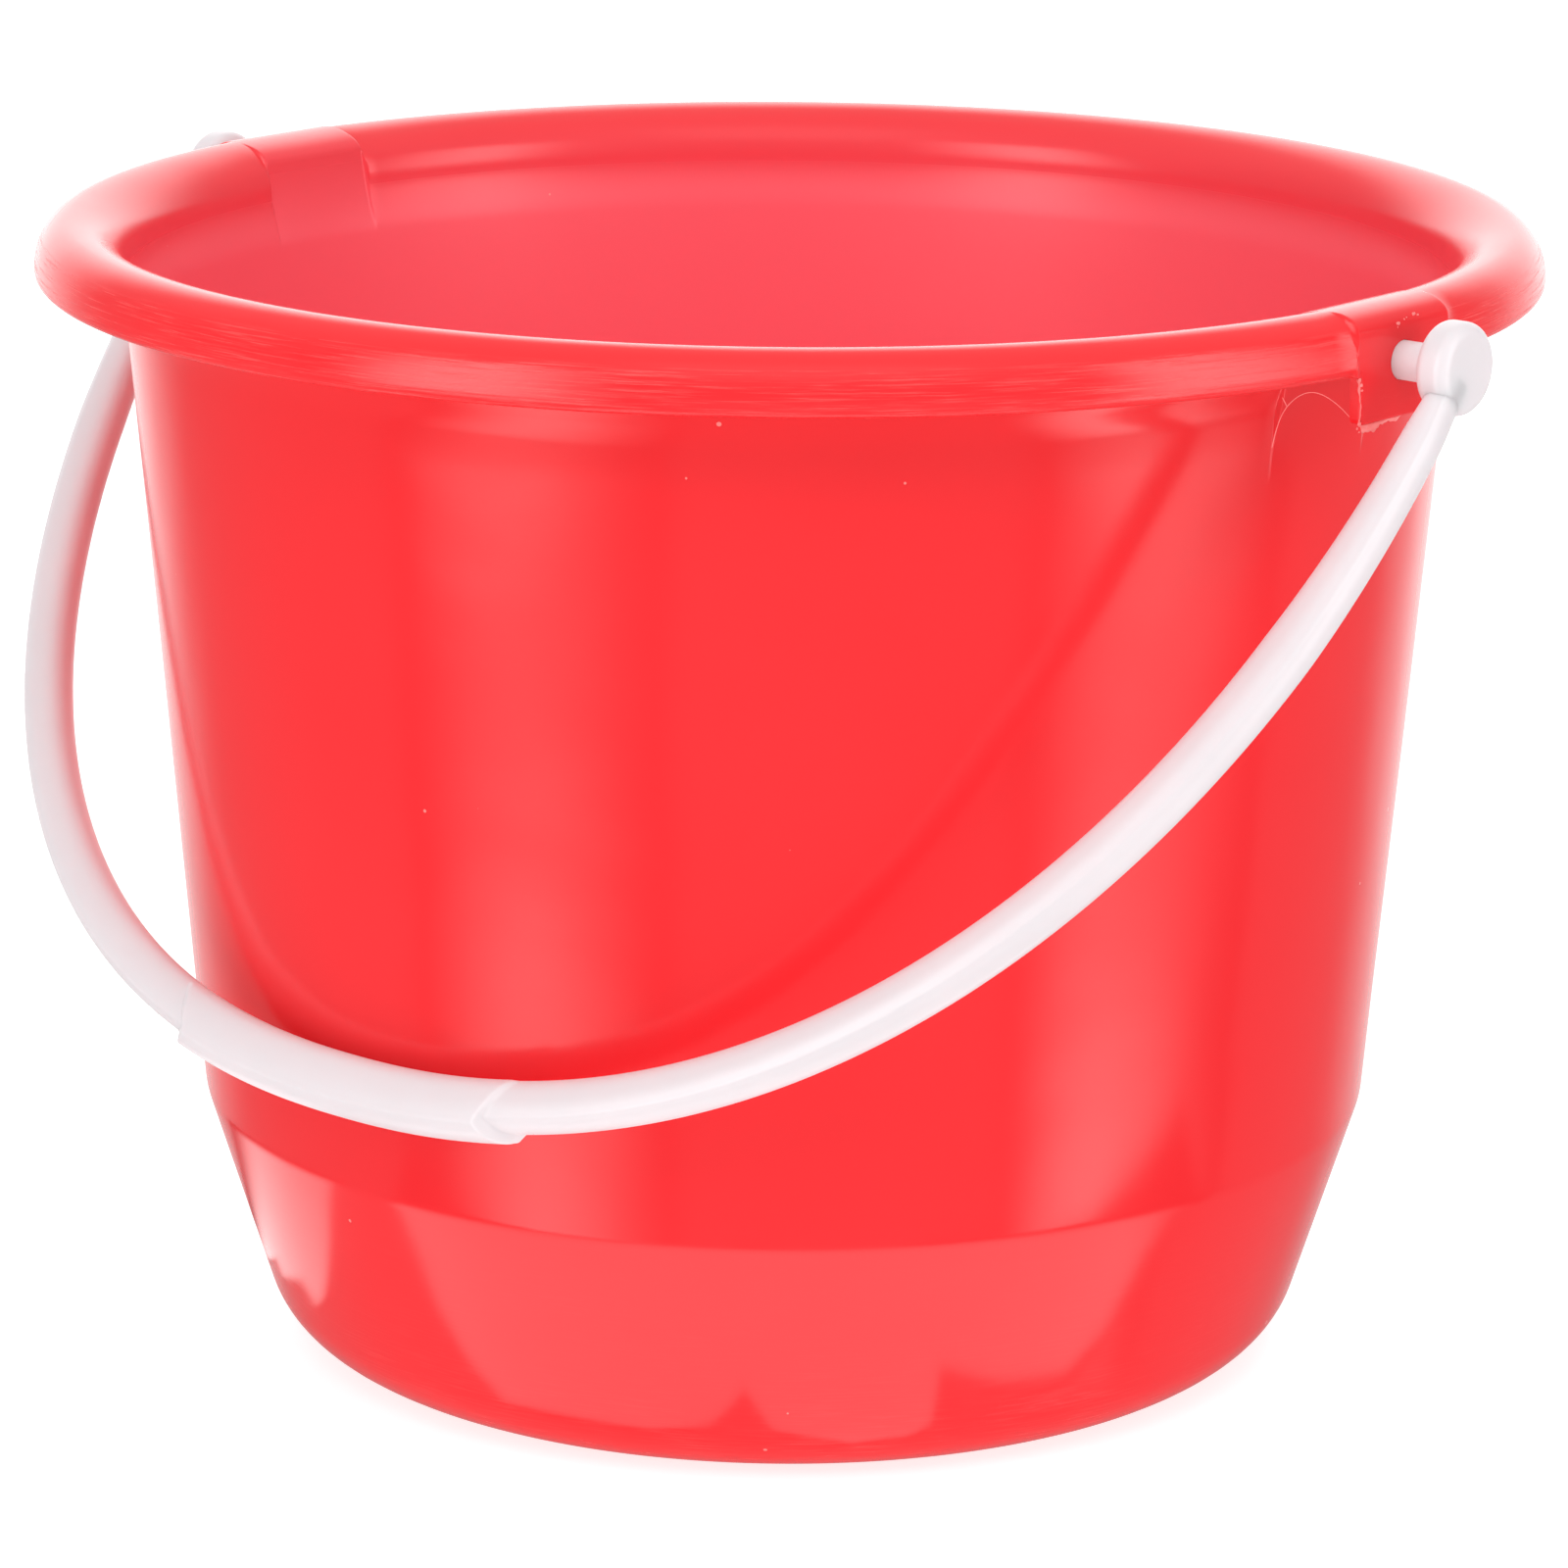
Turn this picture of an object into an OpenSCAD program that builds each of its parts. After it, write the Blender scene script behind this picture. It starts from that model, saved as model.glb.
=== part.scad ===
// Household wash bucket: a moulded tub with a rolled rim, and a moulded bail.
// Millimetres. X runs through the two bail pins, Z is up, the origin is at the
// middle of the underside, and the bail hangs towards -Y and leans on the wall.

/* [Tub] */
// Outer diameter over the rolled rim
rim_d = 280; // [200:1:380]
// Height from the floor to the top of the rim
tub_h = 215; // [140:1:320]
// Outer diameter of the wall just under the rim
wall_top_d = 247.8; // [170:0.2:345]
// Outer diameter at the crease where the wall turns in
crease_d = 221.6; // [150:0.2:330]
// Height of the crease above the floor
crease_h = 49.1; // [25:0.1:90]
// Outer diameter that the lower cone would have at the floor
base_d = 191; // [120:0.5:300]
// Radius of the round corner between base and lower cone
base_fillet = 16.4; // [4:0.1:24]
// Thickness of wall and base
wall_t = 2; // [1.2:0.1:4]
// Diameter inside the ring that the tub stands on
foot_ring_d = 148; // [80:1:240]
// Height of the base panel above the floor, inside the ring
foot_recess = 1.5; // [0.5:0.1:4]

/* [Rim] */
// Width of the rim from its crest in to the wall
roll_in_w = 10.2; // [6:0.1:16]
// Width of the rim from its crest out to its widest circle
roll_out_w = 6.5; // [4:0.1:10]
// Drop of the inner roll below the crest
roll_in_h = 9.5; // [5:0.1:14]
// Drop of the outer roll below the crest
roll_out_h = 8.7; // [5:0.1:13]
// Height of the rounded lip below the widest circle
lip_h = 2.3; // [1:0.1:5]
// Thickness of the rolled rim
rim_t = 2.3; // [1.4:0.1:4]
// Height over which the wall flares into the roll
flare_h = 6; // [3:0.1:12]

/* [Ears] */
// Width of each ear where it crosses the rim
ear_w = 27; // [20:0.5:40]
// Width of the tab below the lip
tab_w = 24; // [16:0.5:38]
// Distance that the tab hangs below the lip
tab_drop = 8.5; // [4:0.1:16]
// Radius of the tab's lower corners
tab_corner = 1.5; // [0.5:0.1:4]
// Thickness of the ear plate that the pin passes through
plate_t = 2.4; // [1.6:0.1:4]
// Depth of the ear's flat face behind the rim's widest circle
face_inset = 0.6; // [0.2:0.1:1.5]
// Drop of the ear's round top edge at the flat face
ear_roll_out_h = 3.5; // [1.5:0.1:6]
// Drop of the ear's round top edge at the inner panel
ear_roll_in_h = 4; // [2:0.1:6]
// Height of the ear's flat inner panel
panel_h = 19.5; // [14:0.5:26]
// Depth of the panel's foot behind the inside of the wall
panel_step = 0.3; // [0.2:0.1:0.6]
// Height of the pin hole above the bottom of the lip
hole_above_lip = 1.5; // [-2:0.1:3]
// Diameter of the pin
pin_d = 6.9; // [4:0.1:8]
// Radial clearance of the pin in its hole
pin_clearance = 0.08; // [0.02:0.01:0.1]

/* [Bail] */
// Distance from the rim's widest circle out to the middle of each arm
arm_offset = 11; // [8:0.5:20]
// Distance from the pin line to the middle of the bow
bow_reach = 177.5; // [150:0.5:260]
// Fullness of the bow: 2 is an ellipse, more is squarer
bow_power = 2.23; // [2:0.01:2.8]
// Diameter of the round boss at each end
boss_d = 16.4; // [12:0.1:24]
// Thickness of the boss
boss_t = 6.6; // [6.4:0.1:12]
// Diameter of the snap head behind the ear plate
head_d = 8.8; // [8.5:0.1:10]
// Length of the snap head
head_l = 3.4; // [2:0.1:5]
// End play between the snap head and the ear plate
head_gap = 0.3; // [0.1:0.05:1]
// Thickness of the arm beside the boss, measured along the pin
arm_t = 6; // [5:0.1:6.2]
// Width of the arm beside the boss, measured across the pin
arm_w = 6.8; // [5:0.1:10]
// Depth of the bow section in the plane of the bail
bow_depth = 9.3; // [7:0.1:14]
// Width of the bow section across the plane of the bail
bow_w = 8; // [6:0.1:12]
// Squareness of the bail's section: 2 is an oval, more is squarer
section_power = 2.4; // [2:0.1:4]
// Step by which the grip stands out from the bow on its far side
grip_step = 1.9; // [0.5:0.1:4]
// Width of the grip section across the plane of the bail
grip_w = 9.4; // [7:0.1:16]
// Half of the grip's length, as an angle seen from the pin line
grip_half_angle = 14.5; // [8:0.5:25]
// Clearance between the bail and the wall that it leans on
lean_gap = 0.4; // [0.3:0.05:1]

/* [Hidden] */
$fn = 96;
TUB_RED = "#fd3a3e";
BAIL_WHITE = "#eee3e7";
CUT = 1;              // how far a cutter runs past the face that it opens
BITE = 0.1;           // how far a joined piece reaches into its neighbour
ROOT = 1;             // how far an ear's panel is rooted down inside the wall
ROLL_STEPS = 12;      // straight pieces in each round stretch of an outline
RING_SIDES = 20;      // corners of one ring of the bow
ARM_RINGS = 26;       // rings along each arm
GRIP_RINGS = 16;      // rings along the grip
RAMP_ANGLE = 0.9;     // length of the step at each end of the grip, as an angle
ARM_BLEND = 22;       // angle over which the arm section turns into the bow section
ARM_START = 1;        // angle at which an arm begins, inside its boss
LEAN_PASSES = 8;      // repeats that settle the angle of lean

rim_r = rim_d / 2;
wall_top_r = wall_top_d / 2;
crease_r = crease_d / 2;
base_r = base_d / 2;
foot_ring_r = foot_ring_d / 2;
crest_r = rim_r - roll_out_w;
roll_in_r = crest_r - roll_in_w;
widest_z = tub_h - roll_out_h;
roll_in_z = tub_h - roll_in_h;
lip_z = widest_z - lip_h;
flare_z = roll_in_z - flare_h;

// Slopes of the lower cone and of the wall, as angles from the horizontal
cone_angle = atan2(crease_h, crease_r - base_r);
wall_angle = atan2(lip_z - crease_h, wall_top_r - crease_r);
// The round base corner touches the floor and the lower cone
fillet_r = base_r - base_fillet * tan(cone_angle / 2);
// The inner faces lie wall_t inside the outer ones, measured square to them
crease_in_r = crease_r - wall_t / sin((cone_angle + wall_angle) / 2);
flare_in_r = outer_wall_r(flare_z) - wall_t / sin(wall_angle);

face_s = rim_r - face_inset;
tab_z = lip_z - tab_drop;
panel_z = tub_h - panel_h;
panel_foot_s = outer_wall_r(panel_z) - wall_t / sin(wall_angle) + panel_step;
panel_back_s = panel_foot_s + wall_t - panel_step;
panel_top_s = roll_in_r + wall_t / 2;
hole_z = lip_z + hole_above_lip;
pin_r = pin_d / 2;
head_r = head_d / 2;
boss_r = boss_d / 2;
boss_round = boss_t / 3;
arm_s = rim_r + arm_offset;
shoulder_s = face_s - plate_t - head_gap;
support_power = section_power / (section_power - 1);
bail_lean = lean(45, LEAN_PASSES);

// Outer radius of the wall at a height above the crease
function outer_wall_r(z) = crease_r + (wall_top_r - crease_r) * (z - crease_h) / (lip_z - crease_h);

// Points along part of an ellipse
function arc(centre, radii, from, to) = [
    for (i = [0:ROLL_STEPS])
        let (a = from + (to - from) * i / ROLL_STEPS)
            [centre[0] + radii[0] * cos(a), centre[1] + radii[1] * sin(a)]
];

// The bail leans until the inner side of its grip is lean_gap from the wall
function grip_reach(angle) = pow(pow(bow_depth / 2 * sin(angle), support_power)
    + pow(grip_w / 2 * cos(angle), support_power), 1 / support_power);
function lean(angle, passes) = passes == 0 ? angle
    : lean(asin((outer_wall_r(hole_z - bow_reach * cos(angle)) + grip_reach(angle) + lean_gap)
        / bow_reach), passes - 1);

// Outline of half the tub's section, from the middle of the base round to the inside
module tub_outline() {
    polygon(concat(
        [[0, foot_recess], [foot_ring_r - foot_recess, foot_recess], [foot_ring_r, 0]],
        arc([fillet_r, base_fillet], [base_fillet, base_fillet], -90, cone_angle - 90),
        [[crease_r, crease_h], [outer_wall_r(flare_z), flare_z]],
        arc([crest_r, roll_in_z], [roll_in_w - rim_t, roll_in_h - rim_t], 180, 90),
        arc([crest_r, widest_z], [roll_out_w - rim_t, roll_out_h - rim_t], 90, 0),
        arc([rim_r - rim_t, widest_z], [rim_t, lip_h], -90, 0),
        arc([crest_r, widest_z], [roll_out_w, roll_out_h], 0, 90),
        arc([crest_r, roll_in_z], [roll_in_w, roll_in_h], 90, 180),
        [[flare_in_r, flare_z], [crease_in_r, crease_h]],
        arc([fillet_r, base_fillet], [base_fillet - wall_t, base_fillet - wall_t],
            cone_angle - 90, -90),
        [[foot_ring_r - foot_recess, foot_recess + wall_t], [0, foot_recess + wall_t]]
    ));
}

// Section of an ear across the rim: distance from the tub's axis, then height
module ear_outline() {
    difference() {
        polygon(concat(
            [[face_s, lip_z]],
            arc([crest_r, tub_h - ear_roll_out_h], [face_s - crest_r, ear_roll_out_h], 0, 90),
            arc([crest_r, tub_h - ear_roll_in_h], [crest_r - panel_top_s, ear_roll_in_h], 90, 180),
            [[panel_foot_s, panel_z], [panel_foot_s + panel_step, panel_z - ROOT]]
        ));
        polygon([
            [face_s - plate_t, lip_z - CUT],
            [face_s - plate_t, tub_h - ear_roll_out_h],
            [crest_r, tub_h - rim_t],
            [panel_top_s + rim_t, tub_h - ear_roll_in_h],
            [panel_back_s, panel_z],
            [panel_back_s - panel_step, panel_z - ROOT - CUT],
            [face_s + CUT, panel_z - ROOT - CUT],
            [face_s + CUT, lip_z - CUT]
        ]);
    }
}

// Front view of the tab that hangs below the lip
module tab_outline() {
    half = tab_w / 2;
    corner = [tab_corner, tab_corner];
    polygon(concat(
        arc([tab_corner - half, tab_z + tab_corner], corner, 180, 270),
        arc([half - tab_corner, tab_z + tab_corner], corner, 270, 360),
        [[half, lip_z + plate_t], [-half, lip_z + plate_t]]
    ));
}

// One ear at +X: the block across the rim and the tab below it
module ear() {
    translate([0, ear_w / 2, 0]) rotate([90, 0, 0]) linear_extrude(ear_w) ear_outline();
    translate([face_s - plate_t, 0, 0]) rotate([90, 0, 90]) linear_extrude(plate_t) tab_outline();
}

// The stretch of rolled rim that an ear takes the place of
module rim_gap() {
    translate([panel_foot_s - wall_t * 2, BITE - ear_w / 2, panel_z])
        cube([rim_r, ear_w - 2 * BITE, panel_h + CUT]);
}

module pin_hole() {
    translate([face_s - plate_t - CUT, 0, hole_z]) rotate([0, 90, 0])
        cylinder(r = pin_r + pin_clearance, h = plate_t + 2 * CUT);
}

module tub() {
    color(TUB_RED) difference() {
        union() {
            difference() {
                rotate_extrude() tub_outline();
                for (turn = [0, 180]) rotate([0, 0, turn]) rim_gap();
            }
            for (turn = [0, 180]) rotate([0, 0, turn]) ear();
        }
        for (turn = [0, 180]) rotate([0, 0, turn]) pin_hole();
    }
}

// Place of the bow's middle line at an angle from the pin line
function bow_r(a) = pow(pow(abs(cos(a)) / arm_s, bow_power)
    + pow(abs(sin(a)) / bow_reach, bow_power), -1 / bow_power);
function bow_point(a) = bow_r(a) * [cos(a), 0, -sin(a)];

// Direction square to the bow, away from the middle of the bail
function bow_out(a) =
    let (p = bow_point(a),
        g = [sign(p[0]) * pow(abs(p[0]) / arm_s, bow_power - 1) / arm_s, 0,
            -pow(abs(p[2]) / bow_reach, bow_power - 1) / bow_reach])
    g / norm(g);

// 0 beside the boss and 1 along the bow
function past_arm(a) = min(1, min(a, 180 - a) / ARM_BLEND);
// 0 along the bow and 1 along the grip
function on_grip(a) = max(0, min(1, (grip_half_angle + RAMP_ANGLE - abs(a - 90)) / RAMP_ANGLE));

function half_depth(a) = (arm_t + (bow_depth - arm_t) * past_arm(a)) / 2;
function half_width(a) =
    (arm_w + (bow_w - arm_w) * past_arm(a) + (grip_w - bow_w) * on_grip(a)) / 2;

// One ring of the bow: an oval that is deeper outwards along the grip
function ring(a) = [
    for (i = [0:RING_SIDES - 1])
        let (t = 360 * i / RING_SIDES,
            size = pow(pow(abs(cos(t)), section_power) + pow(abs(sin(t)), section_power),
                -1 / section_power),
            depth = half_depth(a) + (cos(t) > 0 ? grip_step * on_grip(a) : 0))
            bow_point(a) + size * (bow_out(a) * depth * cos(t) + [0, half_width(a) * sin(t), 0])
];

// Angles of the rings: one arm, the grip, the other arm
arm_end = 90 - grip_half_angle - RAMP_ANGLE;
arm_step = (arm_end - ARM_START) / ARM_RINGS;
arm_angles = [for (i = [0:ARM_RINGS]) ARM_START + arm_step * i];
grip_angles = [for (i = [0:GRIP_RINGS]) 90 + grip_half_angle * (2 * i / GRIP_RINGS - 1)];
far_arm_angles = [for (i = [ARM_RINGS:-1:0]) 180 - arm_angles[i]];
ring_angles = concat(arm_angles, grip_angles, far_arm_angles);

module bow() {
    last = len(ring_angles) - 1;
    polyhedron(
        points = [for (a = ring_angles) each ring(a)],
        faces = concat(
            [[for (i = [RING_SIDES - 1:-1:0]) i]],
            [for (k = [0:last - 1]) for (i = [0:RING_SIDES - 1])
                let (j = (i + 1) % RING_SIDES, low = k * RING_SIDES, high = low + RING_SIDES)
                    [low + i, low + j, high + j, high + i]],
            [[for (i = [0:RING_SIDES - 1]) last * RING_SIDES + i]]
        )
    );
}

// Outline of boss, pin and snap head about the pin line: radius, then distance along it
module pin_outline() {
    inner_face = arm_s - boss_t / 2;
    outer_face = arm_s + boss_t / 2;
    round = [boss_round, boss_round];
    tip_r = head_r / 2;
    polygon(concat(
        [[0, shoulder_s - head_l], [tip_r, shoulder_s - head_l], [head_r, shoulder_s - head_l / 3]],
        [[head_r, shoulder_s], [pin_r, shoulder_s], [pin_r, inner_face]],
        arc([boss_r - boss_round, inner_face + boss_round], round, -90, 0),
        arc([boss_r - boss_round, outer_face - boss_round], round, 0, 90),
        [[0, outer_face]]
    ));
}

module bail() {
    color(BAIL_WHITE) translate([0, 0, hole_z]) rotate([-bail_lean, 0, 0]) {
        bow();
        for (turn = [-90, 90]) rotate([0, turn, 0]) rotate_extrude() pin_outline();
    }
}

tub();
bail();
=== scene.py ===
"""Household wash bucket: a moulded red tub with a rolled rim, and a white bail on two snap pins."""

import logging
import math
from dataclasses import dataclass
from enum import Enum
from typing import Sequence

import bmesh
import bpy
import numpy as np
from mathutils import Matrix, Vector

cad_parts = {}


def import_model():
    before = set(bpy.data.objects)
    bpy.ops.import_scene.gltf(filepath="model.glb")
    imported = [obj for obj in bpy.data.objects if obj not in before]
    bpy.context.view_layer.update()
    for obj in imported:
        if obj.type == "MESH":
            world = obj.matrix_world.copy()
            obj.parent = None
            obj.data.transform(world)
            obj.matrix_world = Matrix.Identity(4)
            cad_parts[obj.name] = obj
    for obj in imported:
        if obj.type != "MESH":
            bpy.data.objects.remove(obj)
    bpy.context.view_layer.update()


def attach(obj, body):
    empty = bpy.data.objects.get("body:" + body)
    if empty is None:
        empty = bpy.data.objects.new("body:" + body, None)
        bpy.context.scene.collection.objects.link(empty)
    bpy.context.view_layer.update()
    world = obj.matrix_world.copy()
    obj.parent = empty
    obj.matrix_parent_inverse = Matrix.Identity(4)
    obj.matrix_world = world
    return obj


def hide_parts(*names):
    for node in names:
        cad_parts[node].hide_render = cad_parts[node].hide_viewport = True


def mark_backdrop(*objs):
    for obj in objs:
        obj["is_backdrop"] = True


MM = 0.001
SHARP_ANGLE = math.radians(34)
MERGE_DISTANCE = 1e-6
# millimetres of surface to one unit of a texture coordinate
UV_MM = 100.0
Array = np.ndarray
Node = bpy.types.Node
Socket = bpy.types.NodeSocket

log = logging.getLogger("wash_bucket")


class Body(Enum):
    """The two mouldings that move against each other."""

    TUB = "tub"
    BAIL = "bail"


class Slot(Enum):
    """The finishes that the record names."""

    RED = "red_polypropylene"
    WHITE = "natural_polyethylene"


# ---------------------------------------------------------------- shapes


def smooth(x: Array) -> Array:
    """S-curve that goes from 0 to 1 as x does: x clipped to 0..1, then 3x^2 - 2x^3.

    Args:
        x: any array.
    Returns:
        An array of the same shape.
    """
    x = np.clip(x, 0.0, 1.0)
    return x * x * (3.0 - 2.0 * x)


def arc(centre: Sequence[float], radii: Sequence[float], start: float, stop: float,
        steps: int = 24) -> Array:
    """Part of an ellipse: centre + radii * (cos a, sin a), with a from start to stop.

    Args:
        centre: middle of the ellipse in mm.
        radii: its two half axes in mm.
        start: first angle in degrees.
        stop: last angle in degrees.
        steps: number of straight pieces.
    Returns:
        Points of shape (steps + 1, 2).
    """
    a = np.radians(np.linspace(start, stop, steps + 1))
    return np.column_stack([centre[0] + radii[0] * np.cos(a), centre[1] + radii[1] * np.sin(a)])


def bezier(p0: Array, p1: Array, p2: Array, p3: Array, steps: int = 16) -> Array:
    """Cubic curve with control points p0 to p3: the usual sum of Bernstein weights.

    Args:
        p0: start.
        p1: point that the curve leaves the start towards.
        p2: point that the curve reaches the end from.
        p3: end.
        steps: number of straight pieces.
    Returns:
        Points of shape (steps + 1, 2).
    """
    u = np.linspace(0.0, 1.0, steps + 1)[:, None]
    v = 1.0 - u
    return (v ** 3 * np.asarray(p0) + 3 * v * v * u * np.asarray(p1)
            + 3 * v * u * u * np.asarray(p2) + u ** 3 * np.asarray(p3))


def evenly(points: Array, count: int) -> Array:
    """Places count points along a line of points at equal lengths, and leaves out its end.

    Args:
        points: the line, shape (n, k).
        count: number of points wanted.
    Returns:
        Points of shape (count, k).
    """
    points = np.asarray(points, float)
    run = np.concatenate([[0.0], np.cumsum(np.linalg.norm(np.diff(points, axis=0), axis=1))])
    at = np.linspace(0.0, run[-1], count + 1)[:-1]
    return np.column_stack([np.interp(at, run, points[:, k]) for k in range(points.shape[1])])


def grid_faces(rows: int, columns: int, close_columns: bool, flip: bool = False) -> Array:
    """Four-cornered faces of a grid whose vertex (i, j) has the number i * columns + j.

    Args:
        rows: number of rows.
        columns: number of columns.
        close_columns: True if the last column meets the first one.
        flip: True to turn the faces over.
    Returns:
        Vertex numbers of shape (faces, 4).
    """
    i, j = np.meshgrid(np.arange(rows - 1), np.arange(columns - (not close_columns)), indexing="ij")
    k = (j + 1) % columns
    corners = [i * columns + j, i * columns + k, (i + 1) * columns + k, (i + 1) * columns + j]
    faces = np.stack(corners, axis=-1).reshape(-1, 4)
    return faces[:, ::-1] if flip else faces


def grid_corners(u: Array, v: Array, close_columns: bool, flip: bool = False) -> Array:
    """Texture coordinates for every face corner of grid_faces, in the same order.

    Args:
        u: values along the columns, one more than there are columns if they close.
        v: values along the rows.
        close_columns: as in grid_faces; not used.
        flip: as in grid_faces.
    Returns:
        Coordinates of shape (faces, 4, 2).
    """
    columns = len(u) - 1
    i, j = np.meshgrid(np.arange(len(v) - 1), np.arange(columns), indexing="ij")
    uu = np.stack([u[j], u[j + 1], u[j + 1], u[j]], axis=-1)
    vv = np.stack([v[i], v[i], v[i + 1], v[i + 1]], axis=-1)
    corners = np.stack([uu, vv], axis=-1).reshape(-1, 4, 2)
    return corners[:, ::-1] if flip else corners


def add_piece(name: str, points: Array, faces: Array, uv: Array | None = None,
              marks: dict[str, Array] | None = None) -> bpy.types.Object:
    """Makes an object from points in millimetres, with its doubles merged and smooth shading.

    Args:
        name: name of the object.
        points: vertices, shape (n, 3).
        faces: vertex numbers, shape (m, 4).
        uv: a coordinate for each face corner, shape (m, 4, 2).
        marks: named numbers, one for each vertex, that a material reads.
    Returns:
        The new object, at the origin.
    """
    mesh = bpy.data.meshes.new(name)
    mesh.from_pydata((np.asarray(points) * MM).tolist(), [], np.asarray(faces).tolist())
    if uv is not None:
        surface = mesh.uv_layers.new(name="surface")
        surface.data.foreach_set("uv", np.ascontiguousarray(uv, np.float32).ravel())
    for mark, values in (marks or {}).items():
        layer = mesh.attributes.new(mark, "FLOAT", "POINT")
        layer.data.foreach_set("value", np.ascontiguousarray(values, np.float32).ravel())
    work = bmesh.new()
    work.from_mesh(mesh)
    bmesh.ops.remove_doubles(work, verts=work.verts, dist=MERGE_DISTANCE)
    work.to_mesh(mesh)
    work.free()
    mesh.polygons.foreach_set("use_smooth", np.ones(len(mesh.polygons), bool))
    mesh.set_sharp_from_angle(angle=SHARP_ANGLE)
    mesh.update()
    piece = bpy.data.objects.new(name, mesh)
    bpy.context.scene.collection.objects.link(piece)
    return piece


def revolved(profile: Array, sides: int) -> Array:
    """Turns a profile about the X axis: (s, r) becomes (s, r cos q, r sin q) for q round the circle.

    Args:
        profile: points (distance along X, radius), shape (n, 2).
        sides: number of columns round the axis.
    Returns:
        Grid of shape (n, sides, 3).
    """
    q = np.arange(sides) * 2 * np.pi / sides
    s, r = profile[:, :1], profile[:, 1:]
    return np.stack([s + 0 * q, r * np.cos(q), r * np.sin(q)], axis=-1)


def tube(path: Array, radius: Array, sides: int) -> Array:
    """Round tube: each point of the path gets a ring square to it, of that radius, and the ends close.

    Args:
        path: points, shape (n, 3).
        radius: one radius for each point.
        sides: corners of a ring.
    Returns:
        Grid of shape (n, sides, 3).
    """
    along = np.gradient(path, axis=0)
    along /= np.linalg.norm(along, axis=1, keepdims=True)
    side = np.cross(along, [0.31, 0.22, 0.92])
    side /= np.linalg.norm(side, axis=1, keepdims=True)
    up = np.cross(along, side)
    q = (np.arange(sides) * 2 * np.pi / sides)[None, :, None]
    return path[:, None] + radius[:, None, None] * (np.cos(q) * side[:, None] + np.sin(q) * up[:, None])


# ---------------------------------------------------------------- finishes


def linear(code: str) -> tuple[float, float, float, float]:
    """Turns an sRGB hex colour into linear numbers.

    Args:
        code: six hex digits.
    Returns:
        Red, green, blue and 1.
    """
    s = np.array([int(code[k:k + 2], 16) for k in (0, 2, 4)]) / 255.0
    c = np.where(s <= 0.04045, s / 12.92, ((s + 0.055) / 1.055) ** 2.4)
    return (float(c[0]), float(c[1]), float(c[2]), 1.0)


def add_node(tree: bpy.types.NodeTree, kind: str, settings: dict | None = None,
             values: dict | None = None, links: dict | None = None) -> Node:
    """Adds a node with its settings, socket values and incoming links.

    Args:
        tree: the node tree.
        kind: the node's type.
        settings: the node's own properties.
        values: numbers or colours for its input sockets.
        links: sockets that feed its input sockets.
    Returns:
        The node.
    """
    node = tree.nodes.new(kind)
    for key, value in (settings or {}).items():
        setattr(node, key, value)
    for key, value in (values or {}).items():
        node.inputs[key].default_value = value
    for key, source in (links or {}).items():
        tree.links.new(source, node.inputs[key])
    return node


def blank_material(name: str) -> tuple[bpy.types.Material, bpy.types.NodeTree]:
    """A new material with an empty node tree.

    Args:
        name: name of the material.
    Returns:
        The material and its tree.
    """
    material = bpy.data.materials.new(name)
    material.use_nodes = True
    material.node_tree.nodes.clear()
    return material, material.node_tree


def close_shader(tree: bpy.types.NodeTree, shader: Node) -> None:
    """Links a shader to the output of its tree."""
    add_node(tree, "ShaderNodeOutputMaterial", links={"Surface": shader.outputs[0]})


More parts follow.
